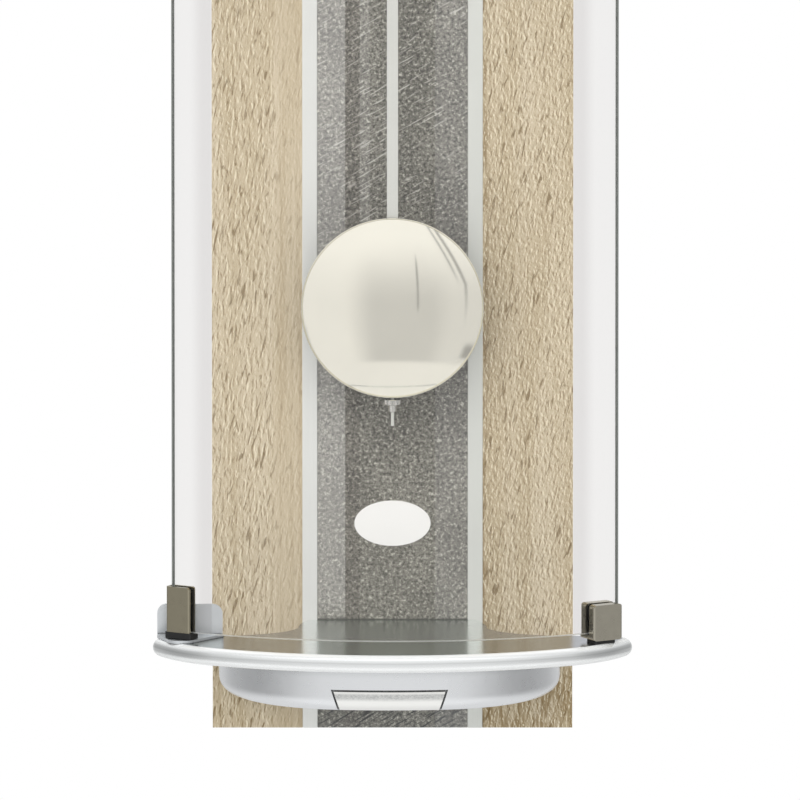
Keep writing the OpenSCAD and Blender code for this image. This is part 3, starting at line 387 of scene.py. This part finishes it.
def tray_metal():
    """Polished tray metal, tinted in zones as painted reflections: bright below the trim strips, duller
    beside them, pale at the far left, with painted shade in its joints beside them.
    """
    look = Look("silver_tray", Metallic=1.0)
    aside = look.aside()
    trim_low, trim_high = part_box("trim_strip_right")
    wood_reflection = look.past(aside, trim_high.x, TRAY_SOFT)
    cloud = look.grain(FINE, detail=4)
    # Painted reflection: the tray is tinted brighter under the trim strips and duller under the wood, for
    # what it mirrors there.
    colour = look.mix(look.past(aside, trim_low.x, TRAY_SOFT), srgb(203, 211, 209), srgb(235, 239, 238))
    colour = look.mix(wood_reflection, colour, srgb(168, 173, 182))
    colour = look.mix(look.before(look.axis("X"), -FOOT_IN, TRAY_SOFT), colour, srgb(212, 217, 214))
    colour = look.mix(look.between(cloud, *GRAIN_MID, 0, 0.05), colour, srgb(120, 120, 120))
    # Painted shade: joints beside the wood are darkened, in colour and in how much they mirror.
    painted_joint_shade = look.times(look.between(look.openness(SEAM_REACH), *TRAY_OPEN), wood_reflection)
    look.dress(Specular_Tint=look.mix(painted_joint_shade, srgb(255, 255, 255), SEAM_SHADE))
    return look.finish(look.mix(painted_joint_shade, colour, SEAM_SHADE), cloud, (0.19, 0.25), MIRROR)


# Other materials
PLASTIC_GRAIN, PAINT_GRAIN, PLASTIC_CLOUD = 0.6 * MM, 0.3 * MM, (12 * MM,) * 3
PLASTIC_RELIEF, PAINT_RELIEF, GROUND_RELIEF, COIL_RELIEF = 0.04 * MM, 0.02 * MM, 0.03 * MM, 0.1 * MM
GROUND_UPRIGHT, GROUND_LEVEL = (0.4 * MM, 0.4 * MM, 6 * MM), (6 * MM, 6 * MM, 0.4 * MM)
PAPER_TOOTH, WINDINGS = (0.5 * MM,) * 3, (20 * MM, 0.3 * MM, 20 * MM)
GLASS_IOR = 1.45
GLASS_SHADOW_SPAN = (101.5 * MM, 93.5 * MM)
DIAL_LINES = (30 * MM, 1, 0.4 * MM)
TRACK_IN, TRACK_OUT, TICK_W = 74.5 * MM, 77.5 * MM, 0.5 * MM
MINUTE_TURN = math.pi / 30


def plastic(name, colour, rough=0.45, grain_size=PLASTIC_GRAIN, relief=PLASTIC_RELIEF):
    """Moulded plastic, rubber or paint with a fine grain."""
    look = Look(name, Specular_IOR_Level=0.4)
    grain = look.grain((grain_size,) * 3)
    cloud = look.grain(PLASTIC_CLOUD, detail=2)
    lighter = tuple(min(1.0, c * 1.12 + 0.004) for c in colour[:3]) + (1.0,)
    tone = look.mix(look.between(cloud, *GRAIN_MID), colour, lighter)
    return look.finish(tone, grain, (rough * 0.85, rough * 1.2), relief, strength=0.6)


def grained(name, size, dark, pale, rough, relief, detail=3, strength=0.4, **shader):
    """A material with one grain between two colours."""
    look = Look(name, **shader)
    grain = look.grain(size, detail=detail)
    return look.finish(look.mix(grain, dark, pale), grain, rough, relief, strength)


def glass():
    """Clear glass that lets lamp light through, painted greyer just past the board's sides as a shadow.
    Light from a matt or glossy piece passes it unbent.
    """
    look = Look("clear_glass", Roughness=0.0, IOR=GLASS_IOR, Transmission_Weight=1.0)
    # Painted shadow: past the board's sides the glass is tinted greyer, fading outwards.
    aside = look.aside()
    board_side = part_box("back_board")[1].x
    past_board = look.between(aside, board_side - EDGE_SOFT, board_side)
    beside = look.times(look.between(aside, *GLASS_SHADOW_SPAN), past_board)
    look.dress(Base_Color=look.mix(beside, srgb(242, 241, 240), srgb(228, 226, 225)))
    path = look.add("ShaderNodeLightPath").outputs
    bounced = look.calc("GREATER_THAN", look.plus(path["Glossy Depth"], path["Diffuse Depth"]), 0.5)
    outside = look.calc("ABSOLUTE", look.minus(path["Transmission Depth"], 1.0))
    later = look.times(bounced, look.calc("GREATER_THAN", outside, 0.5))
    unbent = look.calc("MAXIMUM", path["Is Shadow Ray"], later)
    clear = look.add("ShaderNodeBsdfTransparent", {"Color": srgb(254, 254, 254)})
    look.surface(look.blend(unbent, look.shader.outputs[0], clear.outputs[0]))
    return look.material


def dial():
    """Brushed pale dial with a printed minute track."""
    look = Look("dial", Metallic=0.5)
    lines = look.grain(DIAL_LINES, detail=4, rough=0.6)
    colour = look.mix(look.between(lines, *GRAIN_MID), srgb(216, 217, 216), srgb(238, 239, 238))
    low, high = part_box("dial_plate")
    x, z = look.axis("X"), look.minus(look.axis("Z"), (low.z + high.z) / 2)
    r = look.calc("POWER", look.plus(look.times(x, x), look.times(z, z)), 0.5)
    minute = look.plus(look.times(look.calc("ARCTAN2", x, z), 1 / MINUTE_TURN), 0.5)
    off_tick = look.plus(look.minus(look.calc("FLOOR", minute), minute), 0.5)
    across = look.times(look.times(look.calc("ABSOLUTE", off_tick), MINUTE_TURN), r)
    tick = look.calc("LESS_THAN", across, TICK_W / 2)
    track = look.times(look.calc("GREATER_THAN", r, TRACK_IN), look.calc("LESS_THAN", r, TRACK_OUT))
    colour = look.mix(look.times(tick, track), colour, srgb(34, 34, 36))
    return look.finish(colour, lines, (0.35, 0.5), GROUND_RELIEF)


looks = {
    "oak": oak(),
    "slate": slate(),
    "trim": metal("trim", srgb(233, 234, 230), 0.42, UPRIGHT, 0.04, metallic=0.35),
    "label": grained("label", PAPER_TOOTH, srgb(244, 243, 239), srgb(251, 250, 248), (0.35, 0.5),
                     PAINT_RELIEF, Specular_IOR_Level=0.4),
    "steel": metal("steel", srgb(170, 172, 174), 0.35),
    "silver": metal("silver", srgb(197, 202, 208), 0.22, FINE, 0.03, MIRROR),
    "silver_hatch": hatch_metal(),
    "bracket": metal("bracket", srgb(222, 226, 229), 0.35, FINE, 0.04, SATIN, metallic=0.7, seam_shade=True),
    "clear_glass": glass(),
    "nickel": metal("nickel", srgb(171, 164, 143), 0.30, FINE, 0.05, SATIN),
    "lining": plastic("lining", srgb(9, 9, 8), 0.7),
    "black_plastic": plastic("black_plastic", srgb(28, 28, 28), 0.4),
    "dial": dial(),
    "black_paint": plastic("black_paint", srgb(20, 20, 22), 0.35, PAINT_GRAIN, PAINT_RELIEF),
    "movement": plastic("movement", srgb(62, 63, 66), 0.5),
    "brass": metal("brass", srgb(214, 176, 98), 0.25, LEVEL, 0.08),
    "gear": plastic("gear", srgb(232, 226, 206), 0.4),
    "motor": metal("motor", srgb(150, 152, 155), 0.35, LEVEL, 0.08),
    "board_green": plastic("board_green", srgb(30, 92, 52), 0.35),
    "coil": grained("coil", WINDINGS, srgb(120, 62, 28), srgb(196, 116, 62), (0.25, 0.4),
                    COIL_RELIEF, detail=1, strength=0.6, Metallic=0.8),
    "cell": metal("cell", srgb(196, 132, 60), 0.3, LEVEL, 0.1, metallic=0.6),
    "contact": metal("contact", srgb(205, 206, 204), 0.3),
    "magnet": plastic("magnet", srgb(34, 33, 32), 0.4),
    "rod": metal("rod", srgb(222, 223, 217), 0.32, UPRIGHT, 0.05, metallic=0.4),
    "bob_dome": metal("bob_dome", srgb(249, 246, 233), 0.07, CLOUD, 0.02, POLISHED),
    "bob_plate": metal("bob_plate", srgb(190, 191, 190), 0.3, LEVEL, 0.06),
    "nut": metal("nut", srgb(222, 221, 216), 0.22, LEVEL, 0.06),
}
tray_top = tray_metal()
glass_edge = grained("glass_edge", GROUND_UPRIGHT, srgb(120, 124, 120), srgb(150, 153, 149), (0.25, 0.45),
                     GROUND_RELIEF, IOR=GLASS_IOR)
glass_foot = grained("glass_foot", GROUND_LEVEL, srgb(232, 235, 232), srgb(246, 248, 246), (0.3, 0.5),
                     GROUND_RELIEF, IOR=GLASS_IOR, Transmission_Weight=0.78)
bowl_satin = metal("satin_silver", srgb(246, 248, 250), 0.30, FINE, 0.02, MIRROR, seam_shade=True)
# Painted light: the catch clamps get a paler copy of the nickel, as if more lit.
clamp_lit = metal("nickel_lit", srgb(188, 183, 168), 0.30, FINE, 0.05, SATIN)
own_looks = {
    "base_bowl": bowl_satin,
    "top_bowl": bowl_satin,
    "catch_clamp_lower": clamp_lit,
    "catch_clamp_upper": clamp_lit,
    # Painted shade: the right trim strip gets a darker copy of the trim, as if less lit.
    "trim_strip_right": metal("trim_shaded", srgb(223, 225, 219), 0.42, UPRIGHT, 0.04, metallic=0.35),
}


# Dressing of the CAD nodes
FACETED = {
    "minute_arbor", "minute_wheel", "hour_wheel", "setting_knob", "motor_pinion", "circuit_board",
    "drive_coil", "battery", "battery_contacts", "stepper_motor", "drive_magnet", "glass_pane",
    "slate_inlay",
}
ROUNDED = {"base_bowl", "top_bowl", "base_hatch"}
EDGE_SHARE, EDGE_MOST, EDGE_SEGMENTS = 0.18, 0.35 * MM, 2
HINGE_EDGE, WIDE_EDGE = 0.5 * MM, 0.9 * MM
WIDE_EDGES = {
    "hinge_clamp_lower": HINGE_EDGE, "hinge_clamp_upper": HINGE_EDGE,
    "catch_clamp_lower": WIDE_EDGE, "catch_clamp_upper": WIDE_EDGE,
    "hinge_bracket_lower": WIDE_EDGE, "hinge_bracket_upper": WIDE_EDGE,
}
SMOOTH_ANGLE = math.radians(32)
WELD_REACH = 0.001 * MM


def smoother():
    """A modifier tree that shades faces smooth and keeps edges over the smooth angle sharp."""
    tree = bpy.data.node_groups.new("smooth_by_angle", "GeometryNodeTree")
    for way in ("INPUT", "OUTPUT"):
        tree.interface.new_socket("Geometry", in_out=way, socket_type="NodeSocketGeometry")
    nodes = Nodes(tree)
    start, end = nodes.add("NodeGroupInput"), nodes.add("NodeGroupOutput")
    faces = nodes.add("GeometryNodeSetShadeSmooth", {"Geometry": start.outputs[0], "Shade Smooth": True})
    angle = nodes.add("GeometryNodeInputMeshEdgeAngle").outputs["Unsigned Angle"]
    soft = nodes.calc("LESS_THAN", angle, SMOOTH_ANGLE)
    edges = nodes.add(
        "GeometryNodeSetShadeSmooth", {"Geometry": faces.outputs[0], "Shade Smooth": soft}, domain="EDGE")
    nodes.put(end.inputs[0], edges.outputs[0])
    return tree


SMOOTH_TREE = smoother()


def dress(node, material):
    """Gives a CAD node its material and soft edges. Rounded ones are smooth, and no piece mirrors them."""
    obj = frame["nodes"][node]
    obj.data.materials.clear()
    obj.data.materials.append(material)
    weld = obj.modifiers.new("weld", "WELD")
    weld.merge_threshold = WELD_REACH
    if node not in FACETED:
        low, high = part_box(node)
        bevel = obj.modifiers.new("edges", "BEVEL")
        bevel.width = WIDE_EDGES.get(node, min(EDGE_MOST, EDGE_SHARE * min(high - low)))
        bevel.segments = EDGE_SEGMENTS
        bevel.limit_method = "ANGLE"
        bevel.angle_limit = SMOOTH_ANGLE
    if node in ROUNDED:
        obj.modifiers.new("smooth", "NODES").node_group = SMOOTH_TREE
        obj.visible_glossy = False
    normals = obj.modifiers.new("normals", "WEIGHTED_NORMAL")
    normals.keep_sharp = True


for part in frame["record"]["subparts"]:
    dress(part["node"], own_looks.get(part["node"], looks[part["material_slot"]]))


# New pieces

def piece(name, points, faces, materials, body, node, sharp=40, part_of=None):
    """A mesh in the row frame that rides on a body and stands for a CAD node."""
    mesh = bpy.data.meshes.new(name)
    mesh.from_pydata(points, [], faces)
    for material in materials:
        mesh.materials.append(material)
    if part_of:
        mesh.polygons.foreach_set("material_index", part_of)
    mesh.polygons.foreach_set("use_smooth", [True] * len(faces))
    mesh.set_sharp_from_angle(angle=math.radians(sharp))
    mesh.update()
    obj = link(bpy.data.objects.new(name, mesh))
    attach(obj, body)
    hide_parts(node)
    return obj


def skin(rings, caps=True):
    """Points and faces of a surface through rings with equal counts of points, with flat ends."""
    count = len(rings[0])
    points = [p for ring in rings for p in ring]
    faces = []
    for j in range(len(rings) - 1):
        for i in range(count):
            a, b = j * count + i, j * count + (i + 1) % count
            faces.append((a, a + count, b + count, b))
    if caps:
        faces.append(tuple(range(count)))
        faces.append(tuple(range(len(rings) * count - 1, (len(rings) - 1) * count - 1, -1)))
    return points, faces


def circle(r, count):
    """Points around a circle."""
    turns = [2 * math.pi * i / count for i in range(count)]
    return [(r * math.cos(t), r * math.sin(t)) for t in turns]


def arc(mid, r, start, end, steps):
    """Points of an arc after its first one, with angles in degrees."""
    turns = [math.radians(start + (end - start) * (i + 1) / steps) for i in range(steps)]
    return [(mid[0] + r * math.cos(t), mid[1] + r * math.sin(t)) for t in turns]


# Trays: a shelf with a round rim, a curved front and a neck on the board
TRAY_FRONT_R, TRAY_CORNER_R, TRAY_TIP_R = 200 * MM, 64 * MM, 9 * MM
TRAY_W = 250 * MM
TRAY_REAR = 46.5 * MM
NECK_W, NECK_FOOT_W = 95 * MM, 85 * MM
REAR_EDGE = 1 / 4.4
FLARE_W, FLARE_D = 44 * MM, 26 * MM
FRONT_STEPS, TIP_STEPS, NECK_STEPS, FLARE_STEPS, RIM_STEPS = 40, 24, 12, 32, 20
FLAT_HOLD = 0.3 * MM
STRIP_ROOM = 0.1 * MM


def tray_outline(inset):
    """The tray's loop of points, taken in by inset, and by less along the rear edge."""
    low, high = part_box("base_tray")
    front, board = low.y, high.y
    strip_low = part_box("trim_strip_right")[0]
    corner_x = TRAY_W / 2 - TRAY_CORNER_R
    blend_r = TRAY_FRONT_R - TRAY_CORNER_R
    corner = (corner_x, front + TRAY_FRONT_R - math.sqrt(blend_r ** 2 - corner_x ** 2))
    blend = math.degrees(math.asin(corner_x / blend_r)) - 90
    rear = board - TRAY_REAR
    reach = TRAY_CORNER_R - TRAY_TIP_R
    rise = rear - TRAY_TIP_R - corner[1]
    tip = (corner[0] + math.sqrt(reach ** 2 - rise ** 2), rear - TRAY_TIP_R)
    tip_turn = math.degrees(math.asin(rise / reach))
    notch_x, notch_y = strip_low.x - STRIP_ROOM, strip_low.y - STRIP_ROOM
    rear_in = inset * REAR_EDGE
    flare_x, flare_y = NECK_W / 2 + FLARE_W, rear + FLARE_D
    taper = (NECK_W - NECK_FOOT_W) / 2
    neck = []
    for i in range(FLARE_STEPS + 1):
        turn = math.pi / 2 * i / FLARE_STEPS
        across, back = (FLARE_W + rear_in) * math.sin(turn), (FLARE_D + rear_in) * math.cos(turn)
        neck.append((flare_x - across, flare_y - back))
    for i in range(1, NECK_STEPS + 1):
        share = i / NECK_STEPS
        neck.append((NECK_W / 2 - taper * share ** 2 - rear_in, flare_y + (notch_y - flare_y) * share))
    half = (
        [(0, front + inset)]
        + arc((0, front + TRAY_FRONT_R), TRAY_FRONT_R - inset, -90, blend, FRONT_STEPS)
        + arc(corner, TRAY_CORNER_R - inset, blend, tip_turn, FRONT_STEPS)
        + arc(tip, TRAY_TIP_R - inset, tip_turn, 90, TIP_STEPS)
        + neck + [(notch_x, notch_y), (notch_x, board)]
    )
    return half + [(-x, y) for x, y in half[:0:-1]]


def tray(node):
    """A tray with a half-round rim. Its flats and neck are polished, and the rest of its rim is satin."""
    low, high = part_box(node)
    rim = (high.z - low.z) / 2
    turns = [math.pi / 2 - math.pi * i / RIM_STEPS for i in range(RIM_STEPS + 1)]
    insets = [rim + FLAT_HOLD] + [rim * (1 - math.cos(t)) for t in turns] + [rim + FLAT_HOLD]
    heights = [high.z] + [low.z + rim + rim * math.sin(t) for t in turns] + [low.z]
    rings = [[(x, y, z) for x, y in tray_outline(inset)] for inset, z in zip(insets, heights)]
    points, faces = skin(rings)
    rear = high.y - TRAY_REAR - rim
    flat = {len(faces) - 2, len(faces) - 1}
    rim_faces = [
        0 if i in flat or min(points[p][1] for p in face) > rear else 1 for i, face in enumerate(faces)
    ]
    return piece(node + "_shaped", points, faces, [tray_top, rim_metal(node)], "case", node,
                 part_of=rim_faces)


for node in ("base_tray", "top_tray"):
    tray(node).visible_glossy = False


# Bent glass with arrised edges, ground at its sides and frosted above and below
GLASS_R = 209 * MM
GLASS_T = 3 * MM
ARRIS, EDGE_ARRIS = 0.35 * MM, 0.9 * MM
GLASS_STEPS = 72
FROSTED_SIDES = (0, 1, 2, 4, 5, 6)


def glass_pane():
    """The bent pane, with ground side edges and frosted upper and lower ones."""
    low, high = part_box("glass_pane")
    edge = math.asin((high.x - low.x) / 2 / GLASS_R)
    mid_x = (low.x + high.x) / 2
    mid_y = low.y + GLASS_R
    inner = GLASS_R - GLASS_T
    arris_turn = EDGE_ARRIS / GLASS_R
    sweep = 2 * (edge - arris_turn)
    turns = [-edge, -edge + arris_turn]
    turns += [-edge + arris_turn + sweep * i / GLASS_STEPS for i in range(1, GLASS_STEPS)]
    turns += [edge - arris_turn, edge]

    def ring(turn, end):
        inset = ARRIS if end else 0
        foot = [
            (inner + inset, low.z + ARRIS), (inner + ARRIS, low.z + inset),
            (GLASS_R - ARRIS, low.z + inset), (GLASS_R - inset, low.z + ARRIS),
        ]
        head = [(r, low.z + high.z - z) for r, z in foot[::-1]]
        return [(mid_x + r * math.sin(turn), mid_y - r * math.cos(turn), z) for r, z in foot + head]

    rings = [ring(t, i in (0, len(turns) - 1)) for i, t in enumerate(turns)]
    points, faces = skin(rings)
    edge_faces = []
    for index, face in enumerate(faces):
        column, side = divmod(index, len(rings[0]))
        in_cap = len(face) > 4
        at_side = in_cap or column in (0, len(turns) - 2)
        edge_faces.append(1 if at_side else 2 if side in FROSTED_SIDES else 0)
    return piece("glass_pane_bent", points, faces, [looks["clear_glass"], glass_edge, glass_foot], "door",
                 "glass_pane", sharp=20, part_of=edge_faces)


glass_pane()


# Bob: a pressed dome with a rolled edge, turned about its own axis
BOB_SHELL = 1.2 * MM
BOB_BEAD = 0.5 * MM
BOB_AROUND, BOB_STEPS = 160, 48
BEAD_START, BEAD_END, BEAD_STEPS = -60, 90, 10


def bob_dome():
    """The bob's polished front: outside cap, bead and inside cap."""
    low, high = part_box("bob_front")
    middle = (low + high) / 2
    radius = (high.x - low.x) / 2
    bulge = high.y - low.y
    sphere = (radius ** 2 + bulge ** 2) / (2 * bulge)

    def cap(r_sphere, r_end):
        turns = [math.asin(r_end / r_sphere) * i / BOB_STEPS for i in range(1, BOB_STEPS + 1)]
        return [(r_sphere * math.sin(t), high.y + sphere - bulge - r_sphere * math.cos(t)) for t in turns]

    bead_mid = (radius - BOB_BEAD, high.y - BOB_BEAD)
    start = math.radians(BEAD_START)
    bead = [(bead_mid[0] + BOB_BEAD * math.cos(start), bead_mid[1] + BOB_BEAD * math.sin(start))]
    bead += arc(bead_mid, BOB_BEAD, BEAD_START, BEAD_END, BEAD_STEPS)
    inside = cap(sphere - BOB_SHELL, radius - BOB_BEAD - BOB_SHELL)[::-1]
    profile = cap(sphere, radius - BOB_BEAD) + bead + [(r, min(y, high.y)) for r, y in inside]
    rings = [[(middle.x + u, y, middle.z + v) for u, v in circle(r, BOB_AROUND)] for r, y in profile]
    points, faces = skin(rings)
    return piece("bob_front_polished", points, faces, [looks["bob_dome"]], "bob", "bob_front")


bob_dome()


# Rating nut: a knurled collar over a plain neck
NUT_TEETH, TOOTH_POINTS, TOOTH_GAP = 30, 4, (0, 3)
NUT_KNURL = 0.18 * MM
NUT_NECK_R = 2.1 * MM
NUT_COLLAR_H = 3 * MM
NUT_BORE_R = 0.85 * MM
NUT_SOFT = 0.35 * MM


def rating_nut():
    """The nut's bore, collar and neck, with the knurl cut into the collar."""
    low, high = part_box("rating_nut")
    middle = (low + high) / 2
    radius = (high.x - low.x) / 2
    collar = high.z - NUT_COLLAR_H
    collar_flat = radius - NUT_SOFT - NUT_KNURL
    profile = [
        (NUT_BORE_R, high.z), (collar_flat, high.z), (radius, high.z - NUT_SOFT),
        (radius, collar + NUT_SOFT), (collar_flat, collar), (NUT_NECK_R + NUT_SOFT / 2, collar),
        (NUT_NECK_R, collar - NUT_SOFT / 2), (NUT_NECK_R, low.z + NUT_SOFT), (NUT_NECK_R - NUT_SOFT, low.z),
        (NUT_BORE_R, low.z),
    ]
    around = NUT_TEETH * TOOTH_POINTS
    rings = []
    for r, z in profile:
        full, cut = circle(r, around), circle(r - NUT_KNURL, around)
        ring = []
        for i in range(around):
            in_gap = r == radius and i % TOOTH_POINTS in TOOTH_GAP
            u, v = cut[i] if in_gap else full[i]
            ring.append((middle.x + u, middle.y + v, z))
        rings.append(ring)
    points, faces = skin(rings + rings[:1], caps=False)
    return piece("rating_nut_knurled", points, faces, [looks["nut"]], "rating_nut_body",
                 "rating_nut", sharp=25)


rating_nut()


# The tent's light, in degrees from straight ahead and above level; a window is low, soft, high, soft
TENT_TOP, TENT_FLOOR = (-6, 44), (-14, -48)
OPEN_SIDES, OPEN_BACK, OPEN_FAR = (12, 92), (100, 120), (124, 155)
OPEN_TOP_DIM, OPEN_FLOOR_SIDES = (78, 40, 152, 15), (45, 95)
GLAZED_HALVES, GLAZED_MIDDLE, GLAZED_SIDES = (-4, 4), (-10, 24, 24, 20), (70, 9, 98, 14)
GLAZED_FLOOR = (-42, -46)
BEND_FROM, BEND = 6, 0.34
BENT_MARKS = (((49.8, 0.9, 51, 0.9), (-24, 16)), ((45.6, 0.8, 46.2, 0.8), (4, 20)))
STRAIGHT_MARKS = (
    ((16.4, 0.4, 17.4, 0.4), (-4, 8, 18, 14)),
    ((58, 6, 64, 6), (-38, 3, -34, 6)),
    ((-80, 4, -65, 4), (-38, 4, -22, 5)),
)


class Tent(Nodes):
    """The world's light by direction."""

    def __init__(self, tree):
        super().__init__(tree)
        way = self.add("ShaderNodeTexCoord").outputs["Generated"]
        way = self.add("ShaderNodeSeparateXYZ", {"Vector": way}).outputs
        self.across = self.calc("ARCTAN2", way["X"], self.times(way["Y"], -1.0))
        self.aside = self.calc("ABSOLUTE", self.across)
        self.height = self.calc("ARCSINE", way["Z"])
        self.top = self.ramp(self.height, *TENT_TOP)

    def ramp(self, value, low, high):
        """Rises from 0 to 1 between two angles."""
        return self.between(value, math.radians(low), math.radians(high))

    def inside(self, value, low, low_soft, high, high_soft):
        """1 between two angles, with a soft width outside each."""
        return self.times(self.ramp(value, low - low_soft, low), self.ramp(value, high + high_soft, high))

    def open_light(self):
        """What pieces in the open see: darker at both sides, and bright above and below."""
        light = self.mix(self.ramp(self.aside, *OPEN_SIDES), grey(0.76), grey(0.36))
        light = self.mix(self.ramp(self.aside, *OPEN_BACK), light, grey(0.44))
        light = self.mix(self.ramp(self.aside, *OPEN_FAR), light, grey(0.66))
        ground = self.mix(self.ramp(self.aside, *OPEN_FLOOR_SIDES), grey(0.88), grey(0.74))
        light = self.mix(self.ramp(self.height, *TENT_FLOOR), light, ground)
        ceiling = self.mix(self.inside(self.aside, *OPEN_TOP_DIM), grey(1.14), grey(0.66))
        return self.mix(self.top, light, ceiling)

    def glazed_light(self):
        """What pieces behind the glass see: a dim middle, dark sides and thin marks in a brighter tent."""
        light = self.mix(self.ramp(self.across, *GLAZED_HALVES), grey(0.97), grey(0.83))
        light = self.mix(self.inside(self.across, *GLAZED_MIDDLE), light, grey(0.70))
        light = self.mix(self.inside(self.aside, *GLAZED_SIDES), light, grey(0.34))
        light = self.mix(self.top, light, grey(1.14))
        light = self.mix(self.ramp(self.height, *GLAZED_FLOOR), light, grey(0.98))
        over = self.calc("MAXIMUM", self.plus(self.height, -math.radians(BEND_FROM)))
        bent = self.plus(self.across, self.times(over, BEND))
        marks = 0.0
        for window, rise in BENT_MARKS:
            marks = self.plus(marks, self.times(self.inside(bent, *window), self.ramp(self.height, *rise)))
        for window, rise in STRAIGHT_MARKS:
            mark = self.times(self.inside(self.across, *window), self.inside(self.height, *rise))
            marks = self.plus(marks, mark)
        return self.mix(self.calc("MINIMUM", marks, 1.0), light, grey(0.42))


def studio_world():
    """A soft tent, white to the camera, with one light for pieces in the open and one behind the glass."""
    world = bpy.data.worlds.new("studio")
    bpy.context.scene.world = world
    world.use_nodes = True
    tent = Tent(world.node_tree)
    path = tent.add("ShaderNodeLightPath").outputs
    behind_glass = tent.calc("GREATER_THAN", path["Transmission Depth"], 0.5)
    light = tent.mix(behind_glass, tent.open_light(), tent.glazed_light())
    first = tent.calc("LESS_THAN", tent.plus(path["Glossy Depth"], path["Diffuse Depth"]), 0.5)
    through = tent.times(path["Is Transmission Ray"], first)
    seen = tent.calc("MAXIMUM", path["Is Camera Ray"], through)
    tent.put(tent.tree.nodes["Background"].inputs["Color"], tent.mix(seen, light, grey(1.0)))


# Lamp, floor and camera
KEY_SIZE, KEY_POWER = 2.2, 38
KEY_PLACE, KEY_AIM = Vector((-0.3, -2.4, 0.9)), Vector((0, 0, -0.35))
FLOOR_Z, FLOOR_R, FLOOR_AROUND = -1.05, 1.6, 96
FLOOR_FADE = (0.5, 1.3)
FLOOR_GRAIN = (10 * MM,) * 3
CAMERA_AWAY = 18.0
CAMERA_RISE = math.radians(9.5)
CAMERA_AIM = Vector((3.75, -18.0, -478.7)) * MM
PICTURE_W = 400 * MM
SENSOR_W = 36
CLIP_NEAR, CLIP_FAR = 0.1, 100


def turn_to(obj, way):
    """Turns a lamp or camera to look along a direction."""
    obj.rotation_euler = way.to_track_quat("-Z", "Y").to_euler()


def key_lamp():
    """A large lamp in front of the clock and above it, which no glossy piece mirrors."""
    data = bpy.data.lights.new("key", "AREA")
    data.size = KEY_SIZE
    data.energy = KEY_POWER
    obj = link(bpy.data.objects.new("key", data))
    obj.location = KEY_PLACE
    turn_to(obj, KEY_AIM - KEY_PLACE)
    obj.visible_glossy = False
    obj.visible_transmission = False


def floor():
    """A pale floor that keeps the clock's shadow and fades to white."""
    mesh = bpy.data.meshes.new("floor")
    ring = [(x, y, FLOOR_Z) for x, y in circle(FLOOR_R, FLOOR_AROUND)]
    mesh.from_pydata(ring, [], [tuple(range(FLOOR_AROUND))])
    obj = link(bpy.data.objects.new("floor", mesh))
    look = Look("floor", Specular_IOR_Level=0.1, Roughness=0.9)
    look.dress(Base_Color=look.mix(look.grain(FLOOR_GRAIN), srgb(240, 240, 240), srgb(246, 246, 246)))
    far = look.add("ShaderNodeVectorMath", {0: look.place}, operation="LENGTH").outputs["Value"]
    far = look.minus(look.calc("POWER", far, 2), FLOOR_Z ** 2)
    fade = look.between(look.calc("POWER", far, 0.5), *FLOOR_FADE)
    path = look.add("ShaderNodeLightPath").outputs
    white = look.add("ShaderNodeEmission", {"Color": grey(1.0), "Strength": 1.0})
    bright = look.blend(look.times(fade, path["Is Camera Ray"]), look.shader.outputs[0], white.outputs[0])
    behind = look.add("ShaderNodeNewGeometry").outputs["Backfacing"]
    unseen = look.calc("MAXIMUM", behind, path["Is Glossy Ray"])
    look.surface(look.blend(unseen, bright, look.add("ShaderNodeBsdfTransparent").outputs[0]))
    mesh.materials.append(look.material)


def camera():
    """A far camera with a long lens, a little above the clock."""
    data = bpy.data.cameras.new("camera")
    data.sensor_width = SENSOR_W
    data.lens = SENSOR_W * CAMERA_AWAY / PICTURE_W
    data.clip_start, data.clip_end = CLIP_NEAR, CLIP_FAR
    obj = link(bpy.data.objects.new("camera", data))
    back = Vector((0, -math.cos(CAMERA_RISE), math.sin(CAMERA_RISE)))
    obj.location = CAMERA_AIM + back * CAMERA_AWAY
    turn_to(obj, -back)
    bpy.context.scene.camera = obj


studio_world()
key_lamp()
floor()
camera()
bpy.context.scene.view_settings.view_transform = "Standard"
